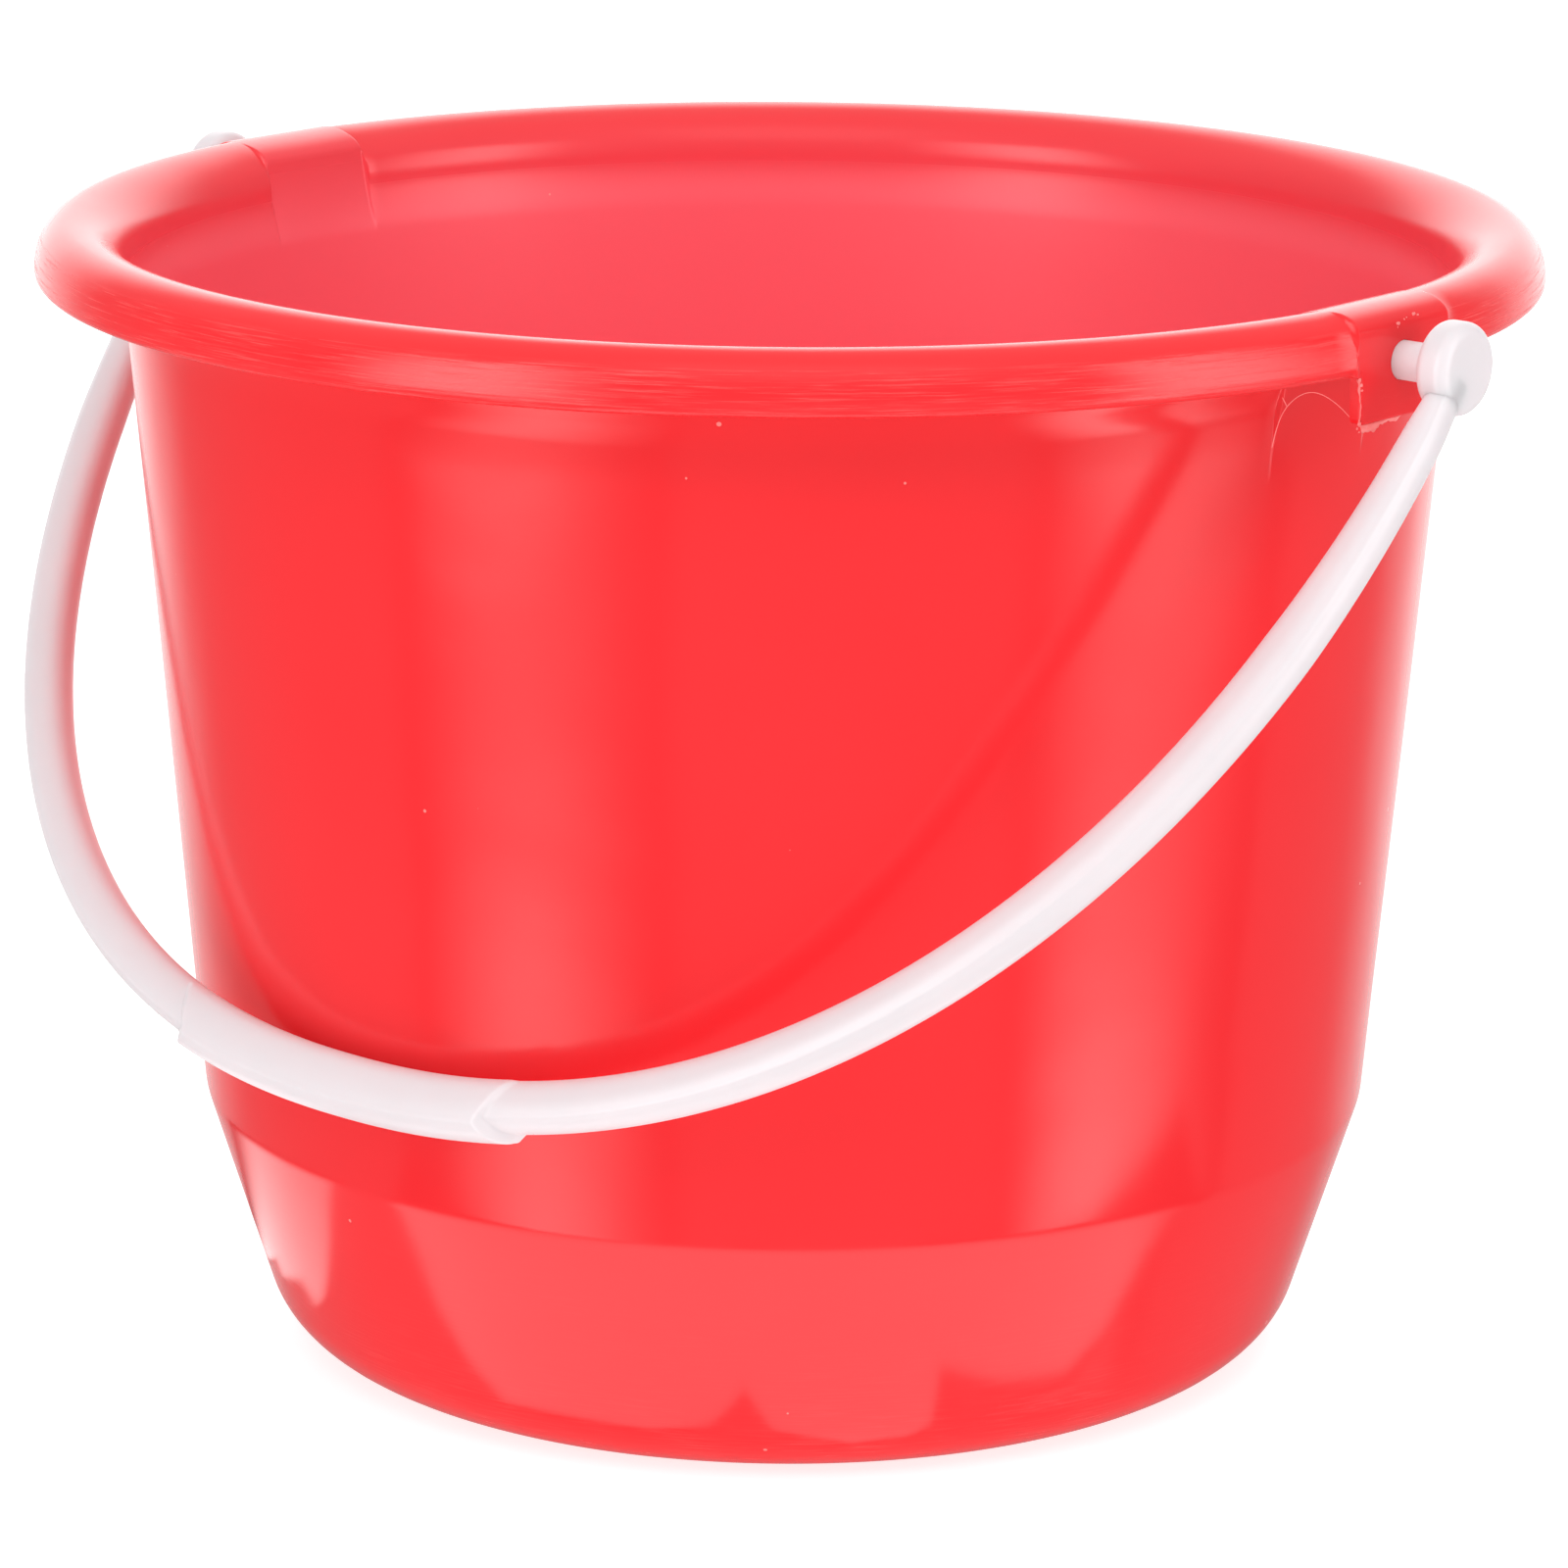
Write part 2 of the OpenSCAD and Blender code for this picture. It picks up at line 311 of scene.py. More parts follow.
@dataclass(frozen=True)
class RedPolypropylene:
    """Injection-moulded polypropylene, pigmented red: glossy, a little wavy, scuffed on the rim, with a
    painted paler haze inside.
    """

    base: str = "f32a30"
    deep: str = "ee2329"
    # paler colour inside the tub: painted haze, standing in for the light that the inner wall catches
    inside: str = "fd6371"
    scuffed: str = "ff5a58"
    nick: str = "ff8a86"
    roughness: float = 0.17
    ior: float = 1.49
    wave_mm: float = 26.0
    peel_mm: float = 2.4
    streak_mm: float = 0.42
    streak_length_mm: float = 14.0
    drift_mm: float = 60.0
    patch_mm: float = 22.0
    worn_share: float = 0.55
    speck_mm: float = 5.5

    def material(self) -> bpy.types.Material:
        """Builds the material.

        Returns:
            The material, which reads Object coordinates and the surface map of the tub.
        """
        material, tree = blank_material("moulded_red_polypropylene")
        place = add_node(tree, "ShaderNodeTexCoord")
        rim = add_node(tree, "ShaderNodeAttribute", {"attribute_name": "rim_band"})
        low = add_node(tree, "ShaderNodeAttribute", {"attribute_name": "low_wear"})
        # slow drift of the pigment
        drift = add_node(tree, "ShaderNodeTexNoise", values={"Scale": 1000 / self.drift_mm, "Detail": 2.0},
                         links={"Vector": place.outputs["Object"]})
        # streaks of handling round the rim and the foot: long round the tub, fine across it
        scale = (UV_MM / self.streak_length_mm, UV_MM / self.streak_mm, 1.0)
        along = add_node(tree, "ShaderNodeMapping", values={"Scale": scale},
                         links={"Vector": place.outputs["UV"]})
        streak = add_node(tree, "ShaderNodeTexNoise", values={"Scale": 1.0, "Detail": 3.0, "Roughness": 0.6},
                          links={"Vector": along.outputs[0]})
        streak_part = add_node(tree, "ShaderNodeMapRange",
                               values={"From Min": 0.48, "From Max": 0.72},
                               links={"Value": streak.outputs["Fac"]})
        patch = add_node(tree, "ShaderNodeTexNoise", values={"Scale": 1000 / self.patch_mm, "Detail": 2.0},
                         links={"Vector": place.outputs["Object"]})
        patch_part = add_node(tree, "ShaderNodeMapRange",
                              values={"From Min": 0.34, "From Max": 0.56},
                              links={"Value": patch.outputs["Fac"]})
        worn = add_node(tree, "ShaderNodeMath", {"operation": "ADD"},
                        links={0: rim.outputs["Fac"], 1: low.outputs["Fac"]})
        worn_streak = add_node(tree, "ShaderNodeMath", {"operation": "MULTIPLY"},
                               links={0: worn.outputs[0], 1: streak_part.outputs[0]})
        worn_patch = add_node(tree, "ShaderNodeMath", {"operation": "MULTIPLY"},
                              links={0: worn_streak.outputs[0], 1: patch_part.outputs[0]})
        # specks of dust and small nicks, a few to a hand's breadth
        speck = add_node(tree, "ShaderNodeTexVoronoi", {"feature": "F1"},
                         {"Scale": 1000 / self.speck_mm, "Randomness": 1.0},
                         {"Vector": place.outputs["Object"]})
        speck_size = add_node(tree, "ShaderNodeSeparateColor", links={"Color": speck.outputs["Color"]})
        speck_limit = add_node(tree, "ShaderNodeMapRange",
                               values={"From Min": 0.93, "From Max": 1.0, "To Min": 0.0, "To Max": 0.09},
                               links={"Value": speck_size.outputs["Red"]})
        speck_part = add_node(tree, "ShaderNodeMath", {"operation": "LESS_THAN"},
                              links={0: speck.outputs["Distance"], 1: speck_limit.outputs[0]})
        outer_tone = add_node(tree, "ShaderNodeMix", {"data_type": "RGBA"},
                              {"A": linear(self.deep), "B": linear(self.base)},
                              {"Factor": drift.outputs["Fac"]})
        # the mould's inner half leaves a rougher face inside, which is real; its paler colour is painted
        # haze that stands in for the light the inner wall catches
        core_and_painted_haze_mark = add_node(tree, "ShaderNodeAttribute", {"attribute_name": "core_side_and_painted_haze"})
        tone = add_node(tree, "ShaderNodeMix", {"data_type": "RGBA"},
                        {"B": linear(self.inside)},
                        {"Factor": core_and_painted_haze_mark.outputs["Fac"], "A": outer_tone.outputs["Result"]})
        share = add_node(tree, "ShaderNodeMath", {"operation": "MULTIPLY"}, {1: self.worn_share},
                         {0: worn_patch.outputs[0]})
        worn_tone = add_node(tree, "ShaderNodeMix", {"data_type": "RGBA"},
                             {"B": linear(self.scuffed)},
                             {"Factor": share.outputs[0], "A": tone.outputs["Result"]})
        colour = add_node(tree, "ShaderNodeMix", {"data_type": "RGBA"},
                          {"B": linear(self.nick)},
                          {"Factor": speck_part.outputs[0], "A": worn_tone.outputs["Result"]})
        dull = add_node(tree, "ShaderNodeMath", {"operation": "ADD"},
                        links={0: worn_streak.outputs[0], 1: core_and_painted_haze_mark.outputs["Fac"]})
        rough = add_node(tree, "ShaderNodeMapRange",
                         values={"From Min": 0.0, "From Max": 1.0,
                                 "To Min": self.roughness, "To Max": self.roughness + 0.2},
                         links={"Value": dull.outputs[0]})
        # orange peel of the mould wall, then the broad sink waves, then the streaks
        peel = add_node(tree, "ShaderNodeTexNoise", values={"Scale": 1000 / self.peel_mm, "Detail": 1.0},
                        links={"Vector": place.outputs["Object"]})
        wave = add_node(tree, "ShaderNodeTexNoise", values={"Scale": 1000 / self.wave_mm, "Detail": 1.0},
                        links={"Vector": place.outputs["Object"]})
        bump_peel = add_node(tree, "ShaderNodeBump", values={"Strength": 0.05, "Distance": 0.0001},
                             links={"Height": peel.outputs["Fac"]})
        bump_wave = add_node(tree, "ShaderNodeBump", values={"Strength": 0.35, "Distance": 0.0006},
                             links={"Height": wave.outputs["Fac"], "Normal": bump_peel.outputs[0]})
        bump = add_node(tree, "ShaderNodeBump", values={"Strength": 0.25, "Distance": 0.0001},
                        links={"Height": worn_streak.outputs[0], "Normal": bump_wave.outputs[0]})
        shader = add_node(tree, "ShaderNodeBsdfPrincipled",
                          values={"IOR": self.ior, "Metallic": 0.0},
                          links={"Base Color": colour.outputs["Result"], "Roughness": rough.outputs[0],
                                 "Normal": bump.outputs[0]})
        close_shader(tree, shader)
        return material


@dataclass(frozen=True)
class NaturalPolyethylene:
    """Injection-moulded polyethylene without pigment: milky, satin, light sinks a little way in."""

    base: str = "e4dbde"
    cool: str = "dcd7da"
    roughness: float = 0.36
    ior: float = 1.51
    depth_mm: float = 3.0
    cloud_mm: float = 18.0
    grain_mm: float = 1.1
    milkiness: float = 0.35

    def material(self) -> bpy.types.Material:
        """Builds the material.

        Returns:
            The material, which reads Object coordinates.
        """
        material, tree = blank_material("moulded_natural_polyethylene")
        place = add_node(tree, "ShaderNodeTexCoord")
        cloud = add_node(tree, "ShaderNodeTexNoise", values={"Scale": 1000 / self.cloud_mm, "Detail": 2.0},
                         links={"Vector": place.outputs["Object"]})
        tone = add_node(tree, "ShaderNodeMix", {"data_type": "RGBA"},
                        {"A": linear(self.cool), "B": linear(self.base)},
                        {"Factor": cloud.outputs["Fac"]})
        grain = add_node(tree, "ShaderNodeTexNoise", values={"Scale": 1000 / self.grain_mm, "Detail": 2.0},
                         links={"Vector": place.outputs["Object"]})
        rough = add_node(tree, "ShaderNodeMapRange",
                         values={"To Min": self.roughness - 0.05, "To Max": self.roughness + 0.08},
                         links={"Value": cloud.outputs["Fac"]})
        bump = add_node(tree, "ShaderNodeBump", values={"Strength": 0.08, "Distance": 0.0001},
                        links={"Height": grain.outputs["Fac"]})
        shader = add_node(tree, "ShaderNodeBsdfPrincipled", {"subsurface_method": "RANDOM_WALK"},
                          {"IOR": self.ior, "Subsurface Weight": self.milkiness,
                           "Subsurface Radius": (1.0, 0.8, 0.8),
                           "Subsurface Scale": self.depth_mm * MM},
                          {"Base Color": tone.outputs["Result"], "Roughness": rough.outputs[0],
                           "Normal": bump.outputs[0]})
        close_shader(tree, shader)
        return material


@dataclass(frozen=True)
class FlashFilm:
    """Thin polypropylene flash: a clear pink skin where the mould halves let a film through."""

    base: str = "ff9a98"
    thick: str = "ff6f6c"
    clouds_per_m: float = 900.0
    roughness: float = 0.3
    ior: float = 1.49

    def material(self) -> bpy.types.Material:
        """Builds the material.

        Returns:
            The material.
        """
        material, tree = blank_material("polypropylene_flash")
        place = add_node(tree, "ShaderNodeTexCoord")
        cloud = add_node(tree, "ShaderNodeTexNoise", values={"Scale": self.clouds_per_m, "Detail": 2.0},
                         links={"Vector": place.outputs["Object"]})
        tone = add_node(tree, "ShaderNodeMix", {"data_type": "RGBA"},
                        {"A": linear(self.thick), "B": linear(self.base)},
                        {"Factor": cloud.outputs["Fac"]})
        shader = add_node(tree, "ShaderNodeBsdfPrincipled",
                          values={"IOR": self.ior, "Roughness": self.roughness},
                          links={"Base Color": tone.outputs["Result"]})
        close_shader(tree, shader)
        return material


# ---------------------------------------------------------------- the tub


@dataclass
class Tub:
    """The red moulding: base, wall, rolled rim and the two ears that hold the pins. Sizes in mm."""

    rim_r: float = 140.0
    height: float = 215.0
    wall_top_r: float = 123.9
    crease_r: float = 110.8
    crease_h: float = 49.1
    base_r: float = 95.5
    fillet: float = 16.4
    wall: float = 2.0
    foot_r: float = 74.0
    recess: float = 1.5
    roll_in_w: float = 10.2
    roll_out_w: float = 6.5
    roll_in_h: float = 9.5
    roll_out_h: float = 8.7
    lip_h: float = 2.3
    rim_t: float = 2.3
    flare_h: float = 6.0
    ear_half: float = 13.5
    tab_half: float = 12.0
    tab_drop: float = 8.5
    tab_corner: float = 1.5
    plate: float = 2.4
    face_inset: float = 0.6
    ear_out_h: float = 3.5
    ear_in_h: float = 4.0
    panel_h: float = 19.5
    panel_step: float = 0.3
    panel_fade: float = 10.0
    hole_above_lip: float = 1.5
    hole_r: float = 3.53
    edge: float = 0.35
    crease_soft: float = 1.3
    step_w: float = 0.8
    bead: float = 0.22
    bead_w: float = 0.4
    column_r: float = 123.5
    texture_r: float = 124.0
    even_z: float = 188.0
    even_drop: float = 60.0
    hole_block: float = 4.9

    def __post_init__(self) -> None:
        """Works out the sizes that follow from the others."""
        self.crest_r = self.rim_r - self.roll_out_w
        self.widest_z = self.height - self.roll_out_h
        self.roll_in_z = self.height - self.roll_in_h
        self.lip_z = self.widest_z - self.lip_h
        self.face_s = self.rim_r - self.face_inset
        self.tab_z = self.lip_z - self.tab_drop
        self.panel_z = self.height - self.panel_h
        self.hole_z = self.lip_z + self.hole_above_lip
        self.cone_angle = math.degrees(math.atan2(self.crease_h, self.crease_r - self.base_r))
        self.wall_angle = math.degrees(
            math.atan2(self.lip_z - self.crease_h, self.wall_top_r - self.crease_r))
        self.fillet_r = self.base_r - self.fillet * math.tan(math.radians(self.cone_angle / 2))
        self.skin = self.wall / math.sin(math.radians(self.wall_angle))

    def outer_r(self, z: float) -> float:
        """Outer radius of the wall at a height above the crease."""
        share = (z - self.crease_h) / (self.lip_z - self.crease_h)
        return self.crease_r + (self.wall_top_r - self.crease_r) * share

    def wall_end(self, z: float, inside: bool) -> Array:
        """Point of the wall at a height, on its outer or inner face."""
        return np.array([self.outer_r(z) - (self.skin if inside else 0.0), z])

    def sections(self) -> tuple[Array, Array, Array, Array]:
        """Lists the closed half section twice, with the same number of rows: for the rim and for an ear.

        The rim's section is straight walls, ellipse arcs over the roll and Bezier curves at the flare
        and the crease. The ear's section runs up the back of its flat plate, round its foot, up its
        face, over a squarer roll and down its flat inner panel. A line with one point for each row is
        taken as it is, and any other gets its rows at equal lengths.

        Returns:
            The rim's points, the ear's points, how far each row follows the tab's lower edge, and
            how far each row belongs to the ear, from 0 to 1.
        """
        t = self
        join_z = t.panel_z - 0.5
        slope = np.array([math.cos(math.radians(t.wall_angle)), math.sin(math.radians(t.wall_angle))])
        cone = np.array([math.cos(math.radians(t.cone_angle)), math.sin(math.radians(t.cone_angle))])
        corner = arc((t.fillet_r, t.fillet), (t.fillet, t.fillet), -90, t.cone_angle - 90)
        crease = np.array([t.crease_r, t.crease_h])
        crease_turn = bezier(crease - t.crease_soft * cone, crease - 0.4 * t.crease_soft * cone,
                             crease + 0.4 * t.crease_soft * slope, crease + t.crease_soft * slope, 5)
        outer_wall = np.vstack([crease_turn, t.wall_end(join_z, False)])
        under_r = (t.roll_in_w - t.rim_t, t.roll_in_h - t.rim_t)
        under_out = (t.roll_out_w - t.rim_t, t.roll_out_h - t.rim_t)
        wall_out, wall_in = t.wall_end(join_z, False), t.wall_end(join_z, True)
        under_start = np.array([t.crest_r - under_r[0], t.roll_in_z])
        rim_under = np.vstack([
            bezier(wall_out, wall_out + 4 * slope, under_start - [0, 4], under_start, 10),
            arc((t.crest_r, t.roll_in_z), under_r, 180, 90)])
        inner_start = np.array([t.crest_r - t.roll_in_w, t.roll_in_z])
        rim_flare = bezier(inner_start, inner_start - [0, 4], wall_in + 4 * slope, wall_in, 14)
        lip = (t.rim_r - t.rim_t, t.widest_z)
        back_s = t.face_s - t.plate
        ear_arc_z = t.height - t.ear_out_h
        panel_top = np.array([t.crest_r - t.roll_in_w + t.wall / 2, t.height - t.ear_in_h])
        panel_foot = np.array([t.outer_r(t.panel_z) - t.skin + t.panel_step, t.panel_z])
        rungs = t.hole_z + np.arange(4, -5, -1) * 1.2
        below = t.tab_z + np.array([3.7, 2.5, 1.3])
        back_z = np.concatenate([[ear_arc_z], rungs, below])
        front_z = np.concatenate([[t.tab_z + t.edge], below[::-1], rungs[::-1]])
        plate_rows = len(back_z)
        ear_edge = np.vstack([[[back_s, t.tab_z]], arc(
            (t.face_s - t.edge, t.tab_z + t.edge), (t.edge, t.edge), -90, 0, 6)])
        stretches = [
            # number of rows, line on the rim, line on the ear where it has its own
            (6, [[0, t.recess], [t.foot_r - t.recess, t.recess]], None),
            (2, [[t.foot_r - t.recess, t.recess], [t.foot_r, 0]], None),
            (2, [[t.foot_r, 0], corner[0]], None),
            (16, corner, None),
            (6, np.vstack([corner[-1], crease - t.crease_soft * cone]), None),
            (5, crease_turn, None),
            (24, outer_wall[-2:], None),
            (14, rim_under, np.vstack([[wall_out], [[t.outer_r(t.panel_z), t.panel_z]],
                                       [panel_top + [t.rim_t, 0]], [[t.crest_r, t.height - t.rim_t]]])),
            (5, arc((t.crest_r, t.widest_z), under_out, 90, 50),
             [[t.crest_r, t.height - t.rim_t], [back_s, ear_arc_z]]),
            (plate_rows, np.vstack([arc((t.crest_r, t.widest_z), under_out, 50, 0), [[lip[0], t.lip_z]]]),
             np.column_stack([np.full(plate_rows, back_s), back_z])),
            (5, arc(lip, (t.rim_t, t.lip_h), -90, -35), ear_edge),
            (plate_rows, np.vstack([arc(lip, (t.rim_t, t.lip_h), -35, 0),
                            arc((t.crest_r, t.widest_z), (t.roll_out_w, t.roll_out_h), 0, 38)]),
             np.column_stack([np.full(plate_rows, t.face_s), front_z])),
            (12, arc((t.crest_r, t.widest_z), (t.roll_out_w, t.roll_out_h), 38, 90),
             np.vstack([[[t.face_s, t.hole_z + 6.0]],
                        arc((t.crest_r, ear_arc_z), (t.face_s - t.crest_r, t.ear_out_h), 0, 90)])),
            (14, arc((t.crest_r, t.roll_in_z), (t.roll_in_w, t.roll_in_h), 90, 180),
             arc((t.crest_r, panel_top[1]), (t.crest_r - panel_top[0], t.ear_in_h), 90, 180)),
            (14, rim_flare, np.vstack([[panel_top], [panel_foot], [wall_in]])),
            (24, self._inner_wall(join_z), None),
            (10, self._inner_corner(), None),
            (7, [[t.foot_r - t.recess, t.recess + t.wall], [0, t.recess + t.wall]], None),
        ]
        rim, ear, owned = [], [], []
        for count, rim_line, ear_line in stretches:
            rim.append(evenly(rim_line, count))
            if ear_line is None:
                ear.append(rim[-1])
            elif len(ear_line) == count:
                ear.append(np.asarray(ear_line))
            else:
                ear.append(evenly(ear_line, count))
            owned.append(np.full(count, float(ear_line is not None)))
            if rim_line is rim_flare:
                owned[-1] = smooth((ear[-1][:, 1] - t.panel_z) / t.panel_fade)
        last = np.array([[0.0, t.recess + t.wall]])
        rim_points, ear_points = np.vstack(rim + [last]), np.vstack(ear + [last])
        flags = np.concatenate(owned + [[0.0]])
        plate_row = (ear_points[:, 0] > back_s - 0.01) & (ear_points[:, 1] < t.widest_z) & (flags > 0)
        follow = np.where(plate_row, (t.widest_z - ear_points[:, 1]) / (t.widest_z - t.tab_z), 0.0)
        return rim_points, ear_points, np.clip(follow, 0, 1), flags

    def _inner_wall(self, top_z: float) -> Array:
        """Line down the inside of the wall, from a height to the inner crease and the inner corner.

        Args:
            top_z: height of its first point in mm.
        Returns:
            Its three points, shape (3, 2).
        """
        mean = math.radians((self.cone_angle + self.wall_angle) / 2)
        crease_in = np.array([self.crease_r - self.wall / math.sin(mean), self.crease_h])
        inner = self.fillet - self.wall
        start = arc((self.fillet_r, self.fillet), (inner, inner), self.cone_angle - 90, -90)[0]
        return np.vstack([self.wall_end(top_z, True), crease_in, start])

    def _inner_corner(self) -> Array:
        """Line round the inner corner of the base and on to the foot ring.

        Returns:
            Points of shape (n, 2).
        """
        inner = self.fillet - self.wall
        turn = arc((self.fillet_r, self.fillet), (inner, inner), self.cone_angle - 90, -90)
        return np.vstack([turn, [[self.foot_r - self.recess, self.recess + self.wall]]])

    def columns(self) -> tuple[Array, Array, Array, Array]:
        """Lists the columns round the tub, from the middle of the right ear and back to it.

        Returns:
            The polar angle of each column, the same with even steps below the ears, its offset from
            the middle of its ear in mm (or nan away from the ears), and the side it faces, 1 or -1
            (0 away from the ears).
        """
        half = np.array([0, 1.2, 2.4, 3.6, 4.8, 6.2, 7.6, 9.0, 10.0, 10.5, 10.8, 11.1, 11.35, 11.6,
                         11.75, 11.86, 11.95, 12.0, 12.03, 12.3, 12.7, 13.05, 13.2, 13.35, 13.5,
                         13.65, 13.8, 13.95])
        plain = 150
        start = half[-1] / self.column_r
        between = np.linspace(start, np.pi - start, plain + 2)[1:-1]
        full = np.concatenate([-half[:0:-1], half])
        nan = np.full(plain, np.nan)
        angle = np.concatenate([half / self.column_r, between, np.pi + full / self.column_r, np.pi + between,
                                2 * np.pi - half[:0:-1] / self.column_r])
        even = np.linspace(0, half[-1], len(half)) / self.column_r
        both = np.concatenate([-even[:0:-1], even])
        spread = np.concatenate([even, between, np.pi + both, np.pi + between, 2 * np.pi - even[:0:-1]])
        offset = np.concatenate([half, nan, -full, nan, -half[:0:-1]])
        side = np.concatenate([np.ones(len(half)), np.zeros(plain), -np.ones(len(full)),
                               np.zeros(plain), np.ones(len(half) - 1)])
        return angle, spread, offset, side

    def surface(self) -> tuple[Array, Array, Array, dict[str, Array]]:
        """Works out the whole shell as one grid of section rows and columns round the tub.

        Away from the ears a point is (r cos a, r sin a, z). Near an ear the columns run at a fixed
        offset from its middle, and the point slides from the rim's section to the ear's over the
        width `step_w`, which is the small step beside each ear. Below the rim the columns turn back to
        fixed angles. The pin holes replace a block of the grid: rings slide from the block's edge
        to a circle, and a bore joins the two circles of a plate.

        Returns:
            Points, faces, texture corners and the named marks of the points.
        """
        rim, ear, follow, owned = self.sections()
        angle, spread, offset, side = self.columns()
        near = side != 0
        t = np.where(near, offset, 0.0)[None, :]
        r, z = rim[:, :1], rim[:, 1:]
        polar_y = r * np.sin(spread)[None, :]
        polar_x = r * np.cos(spread)[None, :]
        low = smooth((self.even_z - z) / self.even_drop)
        turned = np.where(near[None, :], 1.0 - low, 0.0)
        y = polar_y * (1 - turned) + t * turned
        sign = np.where(side == 0, 1.0, side)[None, :]
        x = np.where(near[None, :], sign * np.sqrt(np.maximum(r * r - y * y, 0)), polar_x)
        reach = np.abs(t)
        foot = self.tab_z + self.tab_corner * (1 - np.sqrt(np.clip(
            1 - np.clip((reach - self.tab_half + self.tab_corner) / self.tab_corner, 0, 1) ** 2, 0, 1)))
        foot = np.where(reach > self.tab_half + 0.01, self.lip_z, foot)
        ear_s = ear[:, :1] + 0 * t
        ear_z = ear[:, 1:] + follow[:, None] * (foot - self.tab_z)
        rounding = np.clip((reach - self.tab_half + self.edge) / self.edge, 0, 1)
        rounding = np.where(reach > self.tab_half + 0.01, 0.0, rounding)
        drop = self.edge * (1 - np.sqrt(np.clip(1 - rounding ** 2, 0, 1)))
        front = (np.abs(ear[:, :1] - self.face_s) < 0.4) & (ear[:, 1:] < self.lip_z + 1)
        ear_s = ear_s - np.where(front, drop * np.clip((self.lip_z + 0.3 - ear_z) / 0.5, 0, 1), 0.0)
        blend = smooth((self.ear_half + self.step_w / 2 - reach) / self.step_w)
        blend = blend * near[None, :] * owned[:, None]
        points = np.stack([x * (1 - blend) + sign * ear_s * blend,
                           y * (1 - blend) + t * blend,
                           (z + 0 * x) * (1 - blend) + ear_z * blend], axis=-1)
        # a fine bead where the mould's ear insert meets its rim ring
        hump = np.exp(-((reach - self.ear_half - 0.1) / self.bead_w) ** 2) * near[None, :]
        bead = self.bead * hump * ((r > self.crest_r) & (z > self.lip_z)) * smooth(
            (self.height - 1.5 - z) / 2.0)
        points[..., 0] += sign * bead
        points = self._waved(points)
        rows, count = x.shape
        faces = grid_faces(rows, count, True)
        run = np.concatenate([[0.0], np.cumsum(np.linalg.norm(np.diff(rim, axis=0), axis=1))])
        around = np.concatenate([angle, [2 * np.pi]]) * self.texture_r
        corners = grid_corners(around / UV_MM, run / UV_MM, True)
        sinus = (z - self.widest_z) / self.roll_out_h
        outer = (r > self.crest_r + 1) & (z >= self.lip_z - 0.2)
        band = np.where(outer, smooth((0.74 - sinus) / 0.12), 0.0) * (1 - blend)
        face_wear = 0.25 * blend * (ear[:, :1] > self.face_s - 0.5)
        outside_rows = 60
        foot_wear = (0.55 * smooth((22.0 - z) / 22.0) + 0.15 * smooth((60.0 - z) / 50.0)) * (
            np.arange(rows)[:, None] < outside_rows)
        # painted haze: from the top of the rim inwards the rows take the paler inside colour, which stands
        # in for light on the inner wall; they are rougher too
        over = np.cumsum(np.arange(rows) > np.argmax(rim[:, 1]))[:, None]
        core_side_and_painted_haze = smooth(over / 30.0) + 0 * x
        marks = {"rim_band": (band + face_wear).ravel(), "low_wear": (foot_wear + 0 * x).ravel(),
                 "core_side_and_painted_haze": core_side_and_painted_haze.ravel()}
        return self._drilled(points.reshape(-1, 3), faces, corners, marks, rows, count, ear, angle)

    def _waved(self, points: Array) -> Array:
        """Moves the wall in and out by under a tenth of a millimetre, as sink and ejection leave it.

        The move is a sum of two sines of the angle round the tub and the height.

        Args:
            points: grid of shape (rows, columns, 3) in mm.
        Returns:
            The moved grid.
        """
        a = np.arctan2(points[..., 1], points[..., 0])
        z = points[..., 2]
        on_wall = smooth((z - 52) / 20) * smooth((192 - z) / 20)
        size = 0.05 * np.sin(5 * a + 0.03 * z) + 0.04 * np.sin(9 * a - 0.045 * z + 1.1)
        moved = points.copy()
        flat = np.maximum(np.hypot(points[..., 0], points[..., 1]), 1e-6)
        moved[..., :2] *= (1 + (size * on_wall / flat))[..., None]
        return moved

    def _drilled(self, points: Array, faces: Array, corners: Array, marks: dict[str, Array],
                 rows: int, count: int, ear: Array, angle: Array,
                 ) -> tuple[Array, Array, Array, dict[str, Array]]:
        """Opens the pin hole in both plates of the grid.

        Args:
            points: vertices of the grid.
            faces: its faces.
            corners: its texture corners.
            marks: its named marks.
            rows: number of rows; not used.
            count: number of columns.
            ear: the ear's section.
            angle: polar angle of each column.
        Returns:
            The same four, with the holes in them.
        """
        rungs = np.abs(ear[:, 1] - self.hole_z) < self.hole_block
        back = np.flatnonzero(rungs & (np.abs(ear[:, 0] - self.face_s + self.plate) < 0.01))
        front = np.flatnonzero(rungs & (np.abs(ear[:, 0] - self.face_s) < 0.01))
        keep = np.ones(len(faces), bool)
        new_points, new_faces = [points], []
        total = len(points)
        for centre in (0.0, np.pi):
            apart = (angle - centre + np.pi) % (2 * np.pi) - np.pi
            block = np.flatnonzero(np.abs(apart) * self.column_r < self.hole_block)
            block = block[np.argsort(apart[block])]
            circles = []
            for levels in (back, front):
                i, j = np.meshgrid(levels[:-1], block[:-1], indexing="ij")
                keep[(i * count + j).ravel()] = False
                loop = np.concatenate([
                    levels[0] * count + block[:-1], levels[:-1] * count + block[-1],
                    levels[-1] * count + block[:0:-1], levels[:0:-1] * count + block[0]])
                edge = points[loop]
                turn = np.arctan2(edge[:, 2] - self.hole_z, edge[:, 1])
                circle = np.column_stack([edge[:, 0], self.hole_r * np.cos(turn),
                                          self.hole_z + self.hole_r * np.sin(turn)])
                share = np.linspace(0, 1, 6)[1:, None, None]
                rings = edge * (1 - share) + circle * share
